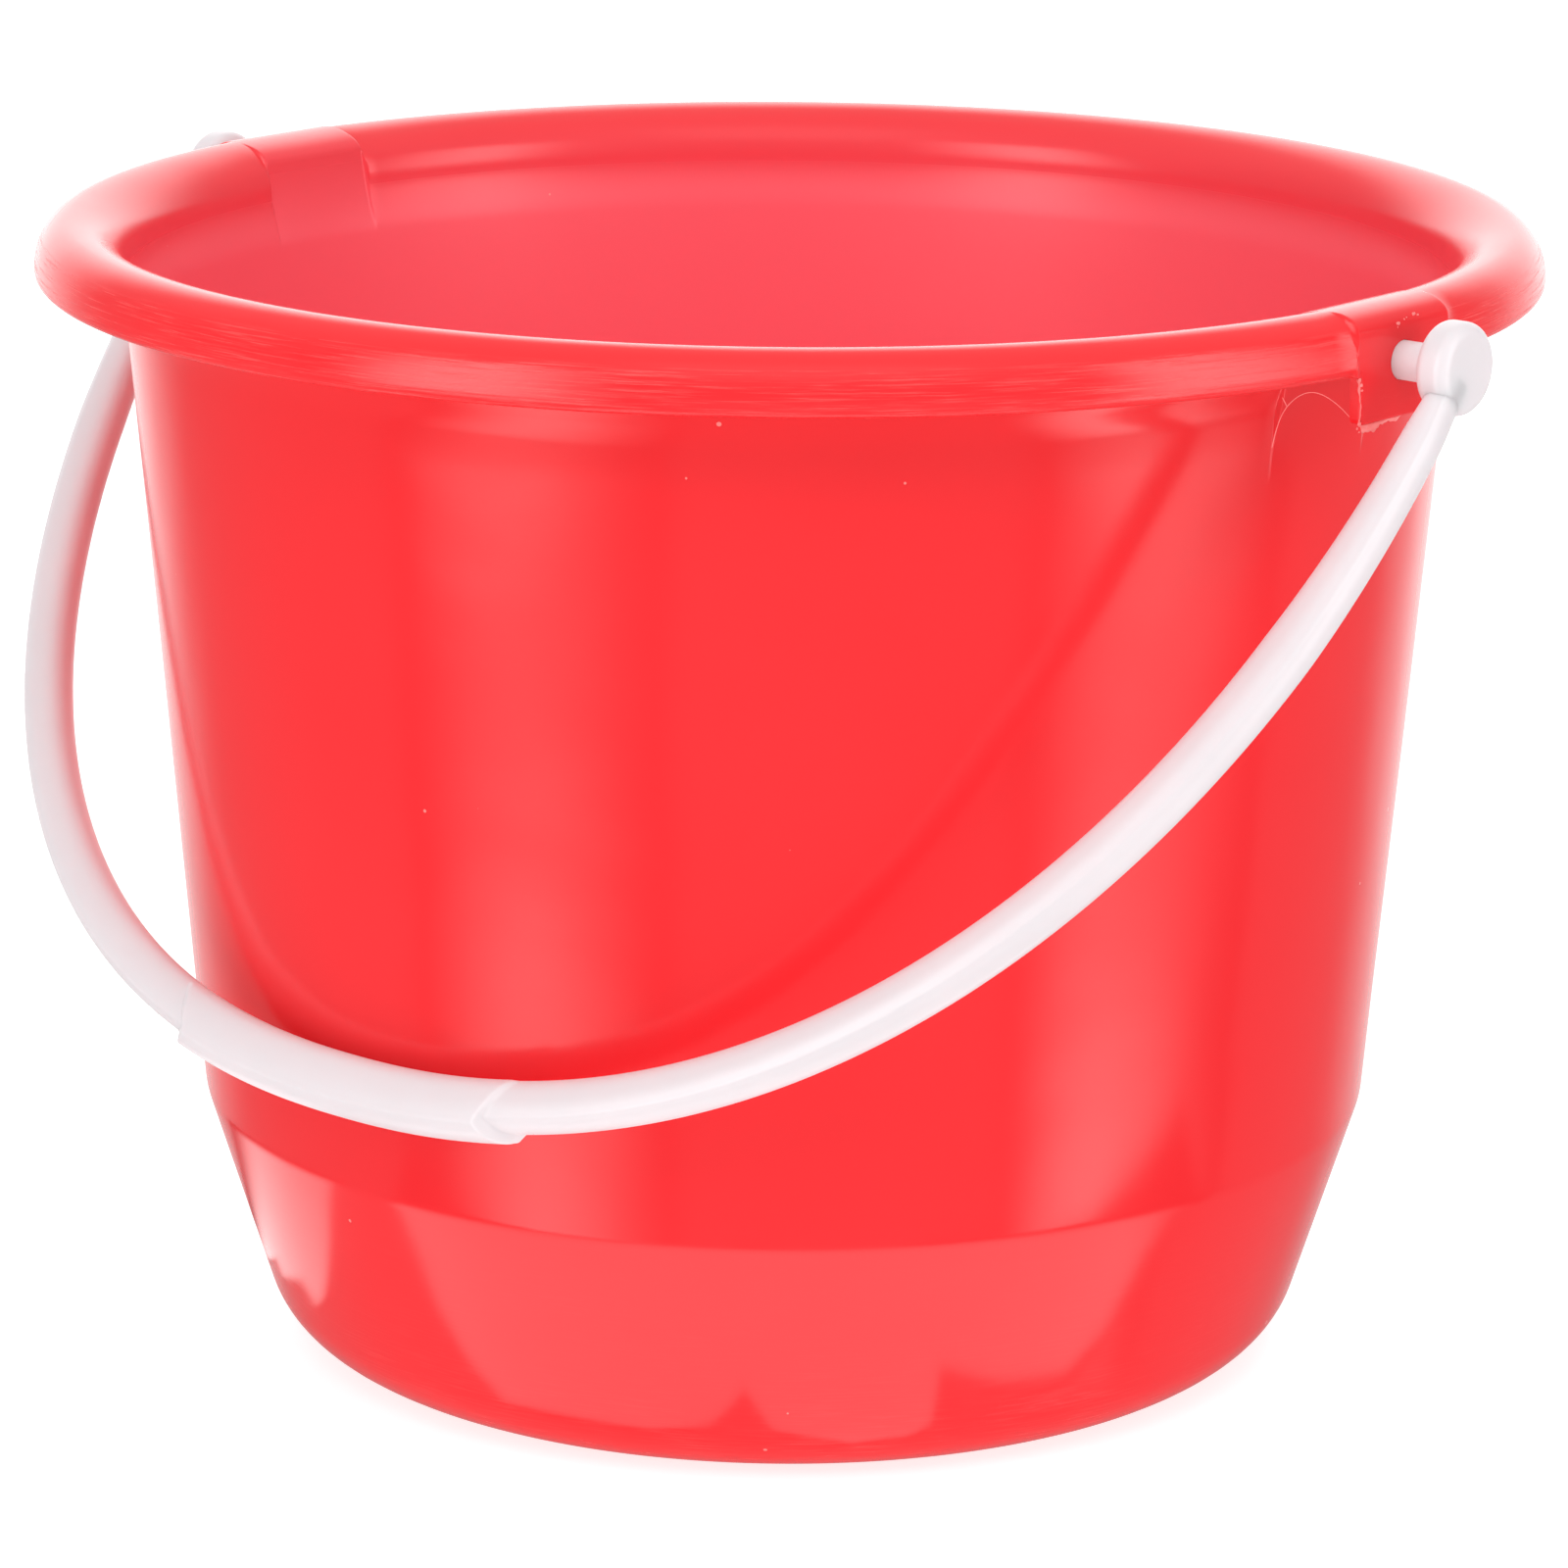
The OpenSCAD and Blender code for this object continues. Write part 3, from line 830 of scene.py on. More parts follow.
                numbers = np.vstack([loop, total + np.arange(rings.shape[0] * len(loop)).reshape(
                    rings.shape[0], -1)])
                total += rings.shape[0] * len(loop)
                new_points.append(rings.reshape(-1, 3))
                after = np.roll(numbers, -1, axis=1)
                new_faces.append(np.stack([numbers[:-1], after[:-1], after[1:], numbers[1:]],
                                          axis=-1).reshape(-1, 4))
                circles.append(numbers[-1])
            # the two loops run opposite ways, so the front one is listed backwards
            first, second = circles
            start = np.argmin(np.linalg.norm(np.vstack(new_points)[second, 1:]
                                             - np.vstack(new_points)[first[0], 1:], axis=1))
            second = np.roll(second[::-1], start + 1)
            new_faces.append(np.stack([first, np.roll(first, -1), np.roll(second, -1), second], axis=-1))
        extra = np.vstack(new_faces)
        more = total - len(points)
        marks = {key: np.concatenate([value, np.zeros(more)]) for key, value in marks.items()}
        return (np.vstack(new_points), np.vstack([faces[keep], extra]),
                np.concatenate([corners[keep], np.zeros((len(extra), 4, 2))]), marks)

    def build(self, finish: bpy.types.Material) -> bpy.types.Object:
        """Makes the tub and gives it its finish.

        Args:
            finish: the red material.
        Returns:
            The object.
        """
        points, faces, corners, marks = self.surface()
        shell = add_piece("tub_moulding", points, faces, corners, marks)
        shell.data.materials.append(finish)
        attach(shell, Body.TUB.value)
        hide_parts("tub")
        return shell


# ---------------------------------------------------------------- marks of the mould


@dataclass
class MouldMarks:
    """Flash, lumps and the gate mark that the tub's mould leaves, and pale lumps that are painted glints.
    Sizes in mm.
    """

    tub: Tub
    film_t: float = 0.12
    thread_r: float = 0.06
    crumb_r: float = 0.4
    gate_r: float = 1.9
    gate_h: float = 0.5

    def film(self) -> bpy.types.Object:
        """Ragged skin along the foot and the left edge of the right ear's tab.

        Two ribbons: height along each is a constant plus sines of three lengths, and a Solidify
        gives the skin its thickness.

        Returns:
            The skin.
        """
        t = self.tub
        s = t.face_s - 0.25
        steps, across = 60, 5
        u = np.linspace(0, 1, steps)[:, None]
        v = np.linspace(0, 1, across)[None, :]
        ragged = 1.15 + 0.3 * np.sin(9 * u) + 0.18 * np.sin(23 * u + 1) + 0.12 * np.sin(51 * u)
        taper = smooth(u / 0.05) * (1 - 0.45 * smooth((u - 0.3) / 0.4)) * smooth((1 - u) / 0.1)
        foot = np.stack([s + 0.5 * v * np.sin(6 * u) + 0 * u, -11.9 + 12.6 * u + 0 * v,
                         t.tab_z + 0.15 - v * ragged * taper], axis=-1)
        width = 0.35 + 0.16 * np.sin(8 * u + 2) + 0.1 * np.sin(27 * u) + 0.5 * smooth((u - 0.85) / 0.15)
        edge = np.stack([s + 0.3 * v * np.sin(5 * u) + 0 * u, -t.tab_half + 0.1 - v * width,
                         t.tab_z + 0.4 + (t.lip_z - t.tab_z - 0.6) * u + 0 * v], axis=-1)
        points = np.vstack([foot.reshape(-1, 3), edge.reshape(-1, 3)])
        faces = grid_faces(steps, across, False)
        piece = add_piece("tab_flash_film", points, np.vstack([faces, faces + steps * across]))
        thick = piece.modifiers.new("thickness", "SOLIDIFY")
        thick.thickness = self.film_t * MM
        thick.offset = 0.0
        return piece

    def thread(self) -> bpy.types.Object:
        """Hair of plastic that hangs from the tab's corner beside the wall, with one short twig.

        Its path is a line through a few knots, smoothed by a running mean over 13 steps.

        Returns:
            The hair.
        """
        steps, twig_steps, sides, span = 90, 24, 8, 13
        knots = np.array([[137.6, -12.2, 196.6], [137.3, -15.5, 199.4], [136.8, -19.5, 201.9],
                          [136.2, -23.0, 202.9], [135.4, -26.2, 202.0], [134.6, -28.3, 199.8],
                          [134.2, -29.6, 196.6], [134.0, -30.3, 193.4]])
        at = np.linspace(0, len(knots) - 1, steps)
        path = np.column_stack([np.interp(at, np.arange(len(knots)), knots[:, k]) for k in range(3)])
        kernel = np.ones(span) / span
        padded = np.pad(path, ((span // 2, span // 2), (0, 0)), mode="edge")
        path = np.column_stack([np.convolve(padded[:, k], kernel, "valid") for k in range(3)])
        ends = smooth(np.minimum(np.linspace(0, 1, steps), np.linspace(1, 0, steps)) / 0.03)
        branch = np.linspace(0, 1, twig_steps)[:, None]
        twig = np.array([134.9, -27.4, 200.7]) + branch * np.array([-0.2, -1.2, 1.8])
        twig_ends = smooth(np.minimum(branch[:, 0], 1 - branch[:, 0]) / 0.1)
        grids = [tube(path, self.thread_r * ends, sides), tube(twig, self.thread_r * twig_ends, sides)]
        points = np.vstack([g.reshape(-1, 3) for g in grids])
        faces = np.vstack([grid_faces(steps, sides, True),
                           grid_faces(twig_steps, sides, True) + steps * sides])
        return add_piece("tab_flash_thread", points, faces)

    def crumbs_and_painted_glints(self) -> bpy.types.Object:
        """Small lumps of flash at the tab's corners, and pale lumps along the top of its face that are
        painted glints on its top edge.

        Each lump is a sphere whose radius is its size times a sum of sines, so that no two match.

        Returns:
            All lumps as one piece.
        """
        t = self.tub
        rings, sides = 9, 12
        top = t.height - t.ear_out_h
        seeds = np.array([
            # along the face, height, stand-off, size
            [-12.5, t.lip_z - 0.3, 0.0, 0.8], [-12.1, t.lip_z - 1.2, 0.1, 0.7],
            [-11.9, t.lip_z - 2.2, 0.1, 0.5], [-12.4, t.tab_z + 0.4, 0.1, 0.9],
            [-12.9, t.tab_z - 0.2, 0.0, 0.5], [-12.3, t.tab_z - 0.9, 0.0, 0.4],
            # the last six, along the top of the face, are pale lumps that stand in for glints on its top
            # edge: painted highlights
            [-1.6, top + 0.5, -0.05, 0.9], [-1.9, top - 0.1, 0.0, 0.6], [0.4, top + 1.0, -0.2, 0.5],
            [1.2, top + 1.2, -0.3, 0.4], [3.4, top + 1.4, -0.4, 0.9], [4.5, top + 1.1, -0.3, 0.7]])
        u = np.linspace(0, np.pi, rings)[None, :, None]
        v = (np.arange(sides) * 2 * np.pi / sides)[None, None, :]
        k = np.arange(len(seeds))[:, None, None]
        size = self.crumb_r * seeds[:, 3][:, None, None] * (
            1 + 0.25 * np.sin(3 * v + k) * np.sin(u) + 0.2 * np.cos(2 * u + 1.7 * k))
        cloud = np.stack([0.5 * size * np.sin(u) * np.cos(v) + t.face_s + seeds[:, 2][:, None, None] - 0.1,
                          1.3 * size * np.sin(u) * np.sin(v) + seeds[:, 0][:, None, None],
                          size * np.cos(u) + 0 * v + seeds[:, 1][:, None, None]], axis=-1)
        one = grid_faces(rings, sides, True, flip=True)
        faces = np.vstack(one[None] + rings * sides * np.arange(len(seeds))[:, None, None])
        return add_piece("tab_flash_crumbs_and_painted_glints", cloud.reshape(-1, 3), faces)

    def gate(self) -> bpy.types.Object:
        """Stub of the feed in the middle of the underside: a profile turned about the upright axis.

        Returns:
            The stub.
        """
        sides = 48
        outline = np.array([[0.0, 0.0], [self.gate_r * 0.8, 0.0], [self.gate_r * 0.9, 0.1],
                            [self.gate_r, self.gate_h], [self.gate_r * 1.5, self.gate_h + 0.25],
                            [0.0, self.gate_h + 0.3]])
        line = evenly(outline, 24)
        line = np.vstack([line, outline[-1:]])
        q = np.arange(sides) * 2 * np.pi / sides
        drop = self.tub.recess - self.gate_h
        grid = np.stack([line[:, :1] * np.cos(q), line[:, :1] * np.sin(q), line[:, 1:] + drop + 0 * q],
                        axis=-1)
        return add_piece("gate_stub", grid.reshape(-1, 3), grid_faces(len(line), sides, True))

    def build(self, red: bpy.types.Material, pink: bpy.types.Material) -> list[bpy.types.Object]:
        """Makes every mark and gives it its finish.

        Args:
            red: the tub's material.
            pink: the material of thin flash.
        Returns:
            The pieces.
        """
        pieces = [(self.film(), pink), (self.thread(), pink), (self.crumbs_and_painted_glints(), pink), (self.gate(), red)]
        for piece, finish in pieces:
            piece.data.materials.append(finish)
            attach(piece, Body.TUB.value)
        return [piece for piece, _ in pieces]


# ---------------------------------------------------------------- the bail


@dataclass
class Bail:
    """The white moulding: a bow with a thicker grip, and a boss, pin and snap head at each end."""

    pin_line_z: float = 205.5
    lean_gap: float = 0.4
    arm_s: float = 151.0
    reach: float = 177.5
    fullness: float = 2.23
    boss_r: float = 8.2
    boss_t: float = 6.6
    boss_shift: float = 0.8
    boss_round: float = 2.2
    pin_r: float = 3.45
    head_r: float = 4.4
    head_l: float = 3.4
    shoulder_s: float = 136.7
    arm_t: float = 6.0
    arm_w: float = 6.8
    bow_depth: float = 9.3
    bow_w: float = 8.0
    grip_step: float = 1.9
    grip_w: float = 9.4
    grip_half: float = 14.5
    grip_shy: float = 2.3
    ramp: float = 0.5
    notch: float = 1.8
    bead: float = 0.22
    bead_turn: float = 0.08
    swell: float = 22.0
    neck: float = 0.22
    neck_end: float = 6.0
    neck_fade: float = 4.0
    squareness: float = 2.4
    start: float = 1.0

    def lean(self, tub: Tub) -> float:
        """Angle at which the inner side of the grip comes to rest a small gap from the tub's wall.

        Args:
            tub: the tub that the bail leans on.
        Returns:
            The angle from the vertical in radians.
        """
        q = self.squareness / (self.squareness - 1)
        angle = math.radians(45.0)
        for _ in range(8):
            half = ((self.bow_depth / 2 * math.sin(angle)) ** q
                    + (self.grip_w / 2 * math.cos(angle)) ** q) ** (1 / q)
            wall = tub.outer_r(self.pin_line_z - self.reach * math.cos(angle))
            angle = math.asin((wall + half + self.lean_gap) / self.reach)
        return angle

    def bow(self) -> tuple[Array, Array]:
        """Sweeps an oval section along the bow.

        The middle line is a superellipse about the pin line: its distance at angle a is
        (|cos a / arm_s|^n + |sin a / reach|^n)^(-1/n). The section is a superellipse too, which
        grows from the arm's size to the bow's and again, on its far side, along the grip. The grip's
        ends are cut on a slant, by `notch` degrees from one side of the section to the other, and its
        +X end stops `grip_shy` degrees early. A fine ridge runs along the two outer corners of the
        section: a bell that adds the share `bead / bow_w` to its radius. The arm thins by the share
        `neck` where it meets a boss.

        Returns:
            Points of shape (rings, sides, 3) and the length along the bow of each ring.
        """
        n = self.fullness
        edge = self.grip_half + self.ramp
        left = np.concatenate([np.linspace(self.start, 90 - edge - 0.7, 84),
                               90 - edge + np.linspace(-0.5, 5.3, 60),
                               np.linspace(90 - edge + 5.6, 90, 20)])
        degrees = np.concatenate([left, 180 - left[-2::-1]])
        a = np.radians(degrees)[:, None]
        c, s = np.cos(a), np.sin(a)
        dist = ((np.abs(c) / self.arm_s) ** n + (np.abs(s) / self.reach) ** n) ** (-1 / n)
        px, pz = dist * c, -dist * s
        gx = np.sign(px) * (np.abs(px) / self.arm_s) ** (n - 1) / self.arm_s
        gz = -(np.abs(pz) / self.reach) ** (n - 1) / self.reach
        size = np.hypot(gx, gz)
        gx, gz = gx / size, gz / size
        sides = 96
        q = (np.arange(sides) * 2 * np.pi / sides)[None, :]
        from_end = np.minimum(degrees, 180 - degrees)[:, None]
        past = np.clip(from_end / self.swell, 0, 1)
        toward = np.abs((np.degrees(q) - 225) % 180 - 90) / 90
        gate = edge - self.notch * (1 - toward) - self.grip_shy * (degrees[:, None] < 90)
        grip = np.clip((gate - np.abs(degrees[:, None] - 90)) / self.ramp, 0, 1)
        cq, sq = np.cos(q), np.sin(q)
        p = self.squareness
        ball = (np.abs(cq) ** p + np.abs(sq) ** p) ** (-1 / p)
        from_corner = np.abs((q + np.pi) % (2 * np.pi) - np.pi) - np.pi / 4
        ball = ball * (1 + self.bead / self.bow_w * np.exp(-(from_corner / self.bead_turn) ** 2))
        depth = (self.arm_t + (self.bow_depth - self.arm_t) * past) / 2 + self.grip_step * grip * (cq > 0)
        # the arm thins a little where it runs into the boss, so that it stays behind the boss's face
        depth = depth * (1 - self.neck * smooth((self.neck_end - from_end) / self.neck_fade))
        width = (self.arm_w + (self.bow_w - self.arm_w) * past + (self.grip_w - self.bow_w) * grip) / 2
        grid = np.stack([px + gx * depth * ball * cq, width * ball * sq + 0 * px,
                         pz + gz * depth * ball * cq], axis=-1)
        middle = np.column_stack([px[:, 0], 0 * px[:, 0], pz[:, 0]])
        run = np.concatenate([[0.0], np.cumsum(np.linalg.norm(np.diff(middle, axis=0), axis=1))])
        first = middle[:1, None] + (grid[:1] - middle[:1, None]) * np.array([0, 0.5, 0.9])[:, None, None]
        last = middle[-1:, None] + (grid[-1:] - middle[-1:, None]) * np.array([0.9, 0.5, 0])[:, None, None]
        grid = np.concatenate([first, grid, last])
        return grid, np.concatenate([np.full(3, run[0]), run, np.full(3, run[-1])])

    def end(self) -> Array:
        """Outline of boss, pin and snap head: distance along the pin line, then radius.

        Returns:
            Points of shape (n, 2), from the snap head's tip to the middle of the boss's outer face.
        """
        middle = self.arm_s - self.boss_shift
        inner, outer = middle - self.boss_t / 2, middle + self.boss_t / 2
        tip = self.shoulder_s - self.head_l
        turn = (self.boss_round, self.boss_round)
        low = arc((inner + self.boss_round, self.boss_r - self.boss_round), turn, 180, 90, 10)
        high = arc((outer - self.boss_round, self.boss_r - self.boss_round), turn, 90, 0, 10)
        fade = np.linspace(0.95, 0, 6)[:, None]
        flat = np.column_stack([outer + 0 * fade, fade * (self.boss_r - self.boss_round)])
        return np.vstack([
            [[tip, 0.0], [tip, self.head_r * 0.25], [tip, self.head_r * 0.48], [tip + 0.15, self.head_r / 2],
             [self.shoulder_s - self.head_l / 3, self.head_r - 0.08],
             [self.shoulder_s - self.head_l / 3 + 0.15, self.head_r],
             [self.shoulder_s - 0.1, self.head_r], [self.shoulder_s, self.head_r - 0.1],
             [self.shoulder_s, self.pin_r + 0.1], [self.shoulder_s + 0.1, self.pin_r]],
            np.column_stack([np.linspace(self.shoulder_s + 1.5, inner - 0.4, 6), np.full(6, self.pin_r)]),
            [[inner - 0.12, self.pin_r + 0.08], [inner, self.pin_r + 0.35]],
            low, high, flat])

    def leaned(self, points: Array, angle: float) -> Array:
        """Turns points about the X axis by an angle, so that the bow swings to -Y, and lifts them.

        Args:
            points: in mm, with the pin line on the X axis.
            angle: in radians.
        Returns:
            The points in the tub's frame.
        """
        c, s = math.cos(angle), math.sin(angle)
        y = points[..., 1] * c + points[..., 2] * s
        z = points[..., 2] * c - points[..., 1] * s + self.pin_line_z
        return np.stack([points[..., 0], y, z], axis=-1)

    def build(self, tub: Tub, finish: bpy.types.Material) -> bpy.types.Object:
        """Makes the bail and gives it its finish.

        Args:
            tub: the tub that it hangs on.
            finish: the white material.
        Returns:
            The object.
        """
        grid, run = self.bow()
        rings, sides = grid.shape[:2]
        sets = [grid.reshape(-1, 3)]
        faces = [grid_faces(rings, sides, True, flip=True)]
        corners = [grid_corners(np.linspace(0, 1, sides + 1), run / UV_MM, True, flip=True)]
        outline = self.end()
        turns = 64
        right = revolved(outline, turns)
        total = rings * sides
        for turn in (1, -1):
            shape = right * np.array([turn, 1, 1])
            sets.append(shape.reshape(-1, 3))
            faces.append(grid_faces(len(outline), turns, True, flip=turn < 0) + total)
            corners.append(grid_corners(np.linspace(0, 1, turns + 1), outline[:, 0] / UV_MM, True,
                                        flip=turn < 0))
            total += len(outline) * turns
        points = self.leaned(np.vstack(sets), self.lean(tub))
        piece = add_piece("bail_moulding", points, np.vstack(faces), np.concatenate(corners))
        piece.data.materials.append(finish)
        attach(piece, Body.BAIL.value)
        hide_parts("bail")
        return piece


# ---------------------------------------------------------------- the studio


@dataclass(frozen=True)
class Studio:
    """Pale floor, bright surroundings, four softboxes, and silks and cards that only gloss shows.

    The camera stands about a metre and a quarter away. Angles are in degrees, lengths in metres and
    the lens in millimetres.
    """

    bearing: float = 40.5
    distance: float = 1.17302
    eye_height: float = 0.41607
    pitch: float = 14.861
    yaw: float = -0.017
    roll: float = 0.4435
    lens: float = 146.27

    def around(self, bearing: float, distance: float, height: float) -> Vector:
        """Place at a bearing from the -Y axis towards +X, as a distance and a height in metres."""
        a = math.radians(bearing)
        return Vector((distance * math.sin(a), -distance * math.cos(a), height))

    def camera(self) -> bpy.types.Object:
        """Camera with no shift and no depth of field.

        Returns:
            The camera, which the scene uses.
        """
        data = bpy.data.cameras.new("view")
        data.sensor_width = 36.0
        data.lens = self.lens
        data.clip_start, data.clip_end = 0.05, 50.0
        eye = bpy.data.objects.new("view", data)
        a, p, g = (math.radians(x) for x in (self.bearing - self.yaw, self.pitch, self.roll))
        ahead = Vector((-math.sin(a) * math.cos(p), math.cos(a) * math.cos(p), -math.sin(p)))
        level = Vector((math.cos(a), math.sin(a), 0.0))
        top = level.cross(ahead)
        right = math.cos(g) * level + math.sin(g) * top
        up = -math.sin(g) * level + math.cos(g) * top
        frame = Matrix((right, up, -ahead)).transposed().to_4x4()
        frame.translation = self.around(self.bearing, self.distance, self.eye_height)
        eye.matrix_world = frame
        bpy.context.scene.collection.objects.link(eye)
        bpy.context.scene.camera = eye
        return eye

    def softbox(self, name: str, bearing: float, distance: float, height: float,
                size: tuple[float, float], glow: float) -> bpy.types.Object:
        """Area light that faces the tub and that no gloss shows.

        Args:
            name: name of the light.
            bearing: direction from the tub, in degrees from the camera, positive to its right.
            distance: in metres.
            height: of its middle, in metres.
            size: width and height in metres.
            glow: brightness of its face, where 1 is a white card.
        Returns:
            The light.
        """
        data = bpy.data.lights.new(name, "AREA")
        data.shape = "RECTANGLE"
        data.size, data.size_y = size
        data.energy = glow * math.pi * size[0] * size[1]
        lamp = bpy.data.objects.new(name, data)
        lamp.location = self.around(self.bearing + bearing, distance, height)
        aim = Vector((0, 0, 0.1)) - lamp.location
        lamp.rotation_euler = aim.to_track_quat("-Z", "Y").to_euler()
        lamp.visible_camera = False
        lamp.visible_glossy = False
        bpy.context.scene.collection.objects.link(lamp)
        return lamp

    def silk(self, name: str, bearing: float, half_width: float, skew: float,
             levels: Sequence[tuple[float, float]]) -> bpy.types.Object:
        """Upright silk screen that the tub's gloss shows, brightest along its middle.

        The screen is part of a cylinder round the tub. Its brightness is a bell across its width
        times a ramp over its height.

        Args:
            name: name of the screen.
            bearing: of its middle, in degrees from the camera.
            half_width: in degrees.
            skew: place of the brightest line across it, from 0 to 1.
            levels: height in metres and brightness, from the bottom up.
        Returns:
            The screen.
        """
        radius, low, high = 1.7, -1.6, 1.5
        rows, columns = 63, 25
        across = np.linspace(0, 1, columns)
        a = np.radians(self.bearing + bearing + half_width * (2 * across - 1))[None, :]
        z = np.linspace(low, high, rows)[:, None]
        grid = np.stack([radius * np.sin(a) + 0 * z, -radius * np.cos(a) + 0 * z, z + 0 * a], axis=-1)
        bell = np.where(across < skew, smooth(across / skew), smooth((1 - across) / (1 - skew)))
        glow = np.interp(z[:, 0], [h for h, _ in levels], [b for _, b in levels])
        screen = add_piece(name, grid.reshape(-1, 3) / MM, grid_faces(rows, columns, False),
                           marks={"glow": (glow[:, None] * bell[None, :]).ravel()})
        return self.lit(screen)

    def surroundings(self) -> None:
        """World that is dim on the camera's side and bright behind the tub and overhead.

        The brightness follows the direction alone: one ramp along the camera's heading, faded out
        towards the ground, and one ramp upwards.
        """
        world = bpy.data.worlds.new("studio")
        bpy.context.scene.world = world
        world.use_nodes = True
        tree = world.node_tree
        tree.nodes.clear()
        place = add_node(tree, "ShaderNodeTexCoord")
        a = math.radians(self.bearing)
        along = add_node(tree, "ShaderNodeVectorMath", {"operation": "DOT_PRODUCT"},
                         {1: (-math.sin(a), math.cos(a), 0.0)}, {0: place.outputs["Generated"]})
        upward = add_node(tree, "ShaderNodeSeparateXYZ", links={"Vector": place.outputs["Generated"]})
        behind = add_node(tree, "ShaderNodeMapRange", {"interpolation_type": "SMOOTHSTEP"},
                          {"From Min": 0.58, "From Max": 0.92, "To Min": 0.0, "To Max": 1.45},
                          {"Value": along.outputs["Value"]})
        ground = add_node(tree, "ShaderNodeMapRange", {"interpolation_type": "SMOOTHSTEP"},
                          {"From Min": -0.5, "From Max": -0.05, "To Min": 0.0, "To Max": 1.0},
                          {"Value": upward.outputs["Z"]})
        high = add_node(tree, "ShaderNodeMapRange", {"interpolation_type": "SMOOTHSTEP"},
                        {"From Min": 0.1, "From Max": 0.95, "To Min": 0.30, "To Max": 0.78},
                        {"Value": upward.outputs["Z"]})
        level = add_node(tree, "ShaderNodeMath", {"operation": "MULTIPLY_ADD"},
                         links={0: behind.outputs[0], 1: ground.outputs[0], 2: high.outputs[0]})
        back = add_node(tree, "ShaderNodeBackground", values={"Color": (1.0, 1.0, 1.0, 1.0)},
                        links={"Strength": level.outputs[0]})
        add_node(tree, "ShaderNodeOutputWorld", links={"Surface": back.outputs[0]})

    def floor(self) -> bpy.types.Object:
        """White floor, lit a little from below as a light table is, so that shadows stay soft.

        It lies a hair below the foot ring, so that the two never share a plane.

        Returns:
            The floor.
        """
        half = 6.0
        level = -0.0003
        corners = [[-half, -half, level], [half, -half, level], [half, half, level], [-half, half, level]]
        points = np.array(corners) / MM
        ground = add_piece("floor", points, np.array([[0, 1, 2, 3]]))
        material, tree = blank_material("white_light_table")
        matt = add_node(tree, "ShaderNodeBsdfPrincipled",
                        values={"Base Color": linear("b8b8b8"), "Roughness": 0.6,
                                "Emission Color": (1.0, 1.0, 1.0, 1.0), "Emission Strength": 0.78})
        close_shader(tree, matt)
        ground.data.materials.append(material)
        ground.visible_glossy = False
        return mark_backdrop(ground)

    def cards(self) -> list[bpy.types.Object]:
        """Lit cards on the floor before the tub, which only the tub's gloss shows.

        Returns:
            The front card, and a narrow one at the left.
        """
        front = self.card("front_card", (3.0, 18.0), 1.6, [
            (-60, 0.160), (-55, 0.140), (-48, 0.122), (-42, 0.112), (-34, 0.103), (-15, 0.1015),
            (-8, 0.105), (-4.5, 0.1135), (-1, 0.104), (8, 0.097), (15, 0.099), (18, 0.104),
            (20, 0.117), (28, 0.112), (37, 0.111), (45, 0.120), (55, 0.140), (66, 0.165)])
        left = self.card("left_card", (16.0, 2.5), 1.55, [
            (-112, 0.105), (-98, 0.107), (-92, 0.112), (-88, 0.108), (-80, 0.112),
            (-74, 0.108), (-71, 0.112)])
        return [front, left]

    def card(self, name: str, fade: tuple[float, float], glow: float,
             edge: Sequence[tuple[float, float]]) -> bpy.types.Object:
        """One lit card: a patch of a ring round the tub, whose inner edge has lobes.

        The inner edge joins the given points with straight lines. Outwards from it the brightness
        rises over the length `rise` and holds, and it fades out over the length `fall` up to `limit`
        from the middle.

        Args:
            name: name of the card.
            fade: width in degrees of the fade at its first and its last bearing.
            glow: brightness of its middle.
            edge: bearing in degrees from the camera and radius in metres, along the inner edge.
        Returns:
            The card.
        """
        rows, columns = 60, 160
        width, rise, fall, limit, lift = 0.075, 0.003, 0.020, 0.180, 0.0004
        bearings, radii = np.array(edge, float).T
        turn = np.linspace(bearings[0], bearings[-1], columns)[None, :]
        inner = np.interp(turn, bearings, radii)
        out = width * np.linspace(0, 1, rows)[:, None] ** 2
        radius = inner + out
        a = np.radians(self.bearing + turn)
        grid = np.stack([radius * np.sin(a), -radius * np.cos(a), lift + 0 * radius], axis=-1)
        sides = smooth((turn - bearings[0]) / fade[0]) * smooth((bearings[-1] - turn) / fade[1])
        level = smooth(out / rise) * smooth((limit - radius) / fall)
        piece = add_piece(name, grid.reshape(-1, 3) / MM, grid_faces(rows, columns, False),
                          marks={"glow": (glow * sides * level).ravel()})
        return self.lit(piece)

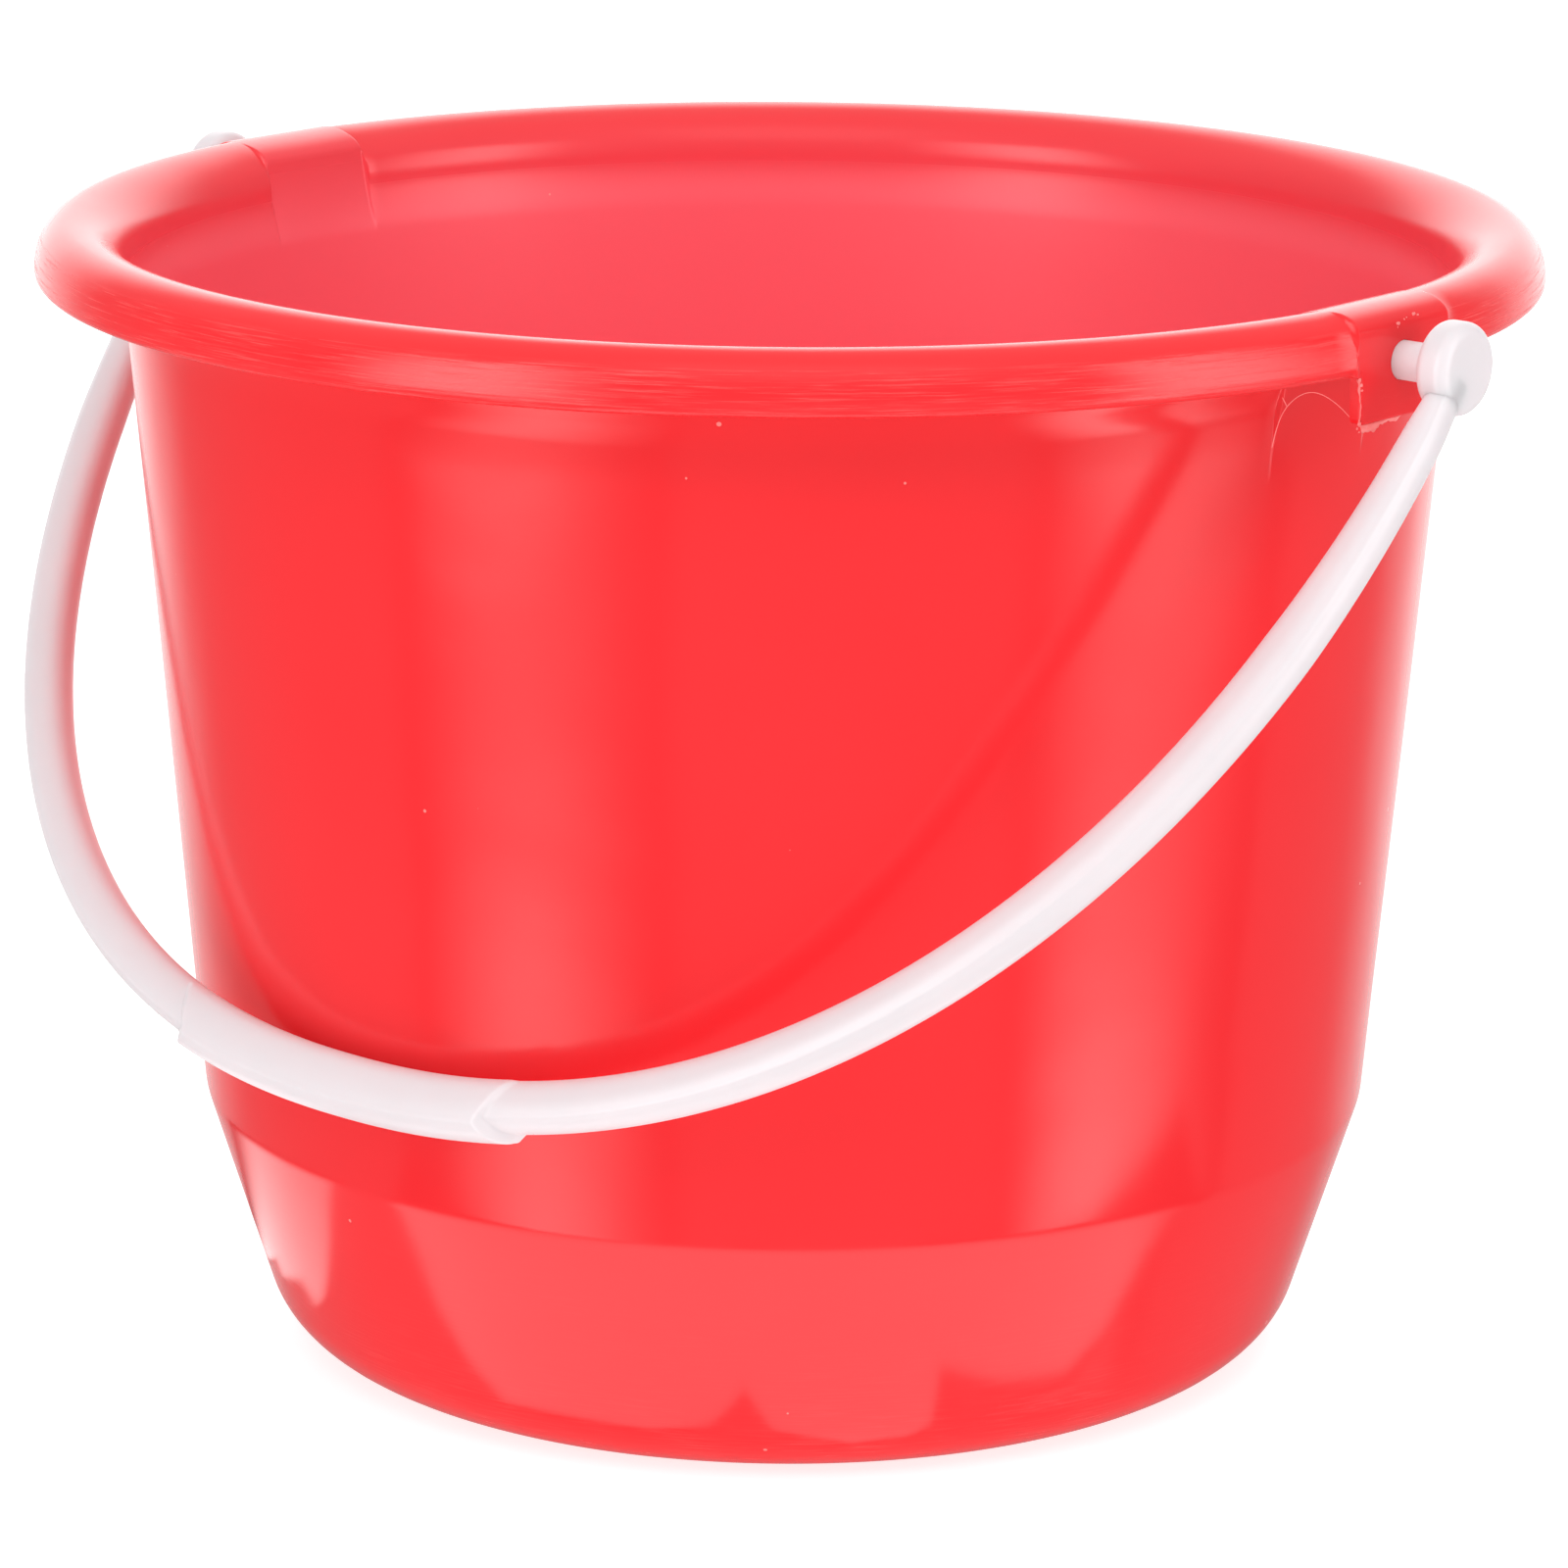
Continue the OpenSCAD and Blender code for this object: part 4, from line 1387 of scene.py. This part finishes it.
    def lit(self, piece: bpy.types.Object) -> bpy.types.Object:
        """Makes a piece glow by its own mark, seen by gloss alone, and leaves it out of the object.

        Args:
            piece: a screen or card whose vertices carry the mark `glow`.
        Returns:
            The same piece.
        """
        material, tree = blank_material(piece.name + "_light")
        level = add_node(tree, "ShaderNodeAttribute", {"attribute_name": "glow"})
        close_shader(tree, add_node(tree, "ShaderNodeEmission", links={"Strength": level.outputs["Fac"]}))
        piece.data.materials.append(material)
        piece.visible_camera = piece.visible_diffuse = piece.visible_shadow = False
        piece.visible_transmission = False
        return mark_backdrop(piece)

    def build(self) -> None:
        """Sets up floor, surroundings, lights and camera."""
        scene = bpy.context.scene
        scene.view_settings.view_transform = "Standard"
        scene.view_settings.look = "None"
        self.surroundings()
        self.floor()
        self.cards()
        self.softbox("left_softbox", -45.0, 1.8, 0.7, (0.7, 1.4), 2.4)
        self.softbox("right_softbox", 55.0, 1.8, 0.7, (0.7, 1.4), 1.9)
        self.softbox("top_softbox", 0.0, 1.2, 1.8, (1.3, 1.3), 2.65)
        self.softbox("back_softbox", 180.0, 1.6, 1.6, (1.6, 1.0), 1.0)
        self.silk("left_silk", -46.0, 26.0, 0.46, [
            (-1.6, 3.1), (-0.72, 2.9), (-0.65, 2.4), (-0.57, 0.8), (-0.45, 0.8), (-0.3, 4.5), (1.5, 4.5)])
        self.silk("right_silk", 68.0, 27.0, 0.36, [
            (-1.6, 3.8), (-0.72, 3.6), (-0.65, 1.8), (-0.57, 1.2), (-0.45, 1.2), (-0.3, 4.0), (1.5, 4.0)])
        self.camera()


def main() -> None:
    """Builds the bucket on its CAD frame and reports each piece."""
    logging.basicConfig(level=logging.INFO, format="%(name)s: %(message)s")
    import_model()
    red = RedPolypropylene().material()
    white = NaturalPolyethylene().material()
    pink = FlashFilm().material()
    tub = Tub()
    pieces = [tub.build(red)]
    pieces += MouldMarks(tub).build(red, pink)
    pieces.append(Bail().build(tub, white))
    for piece in pieces:
        log.info("%s: %d faces", piece.name, len(piece.data.polygons))
    Studio().build()


if __name__ == "__main__":
    main()
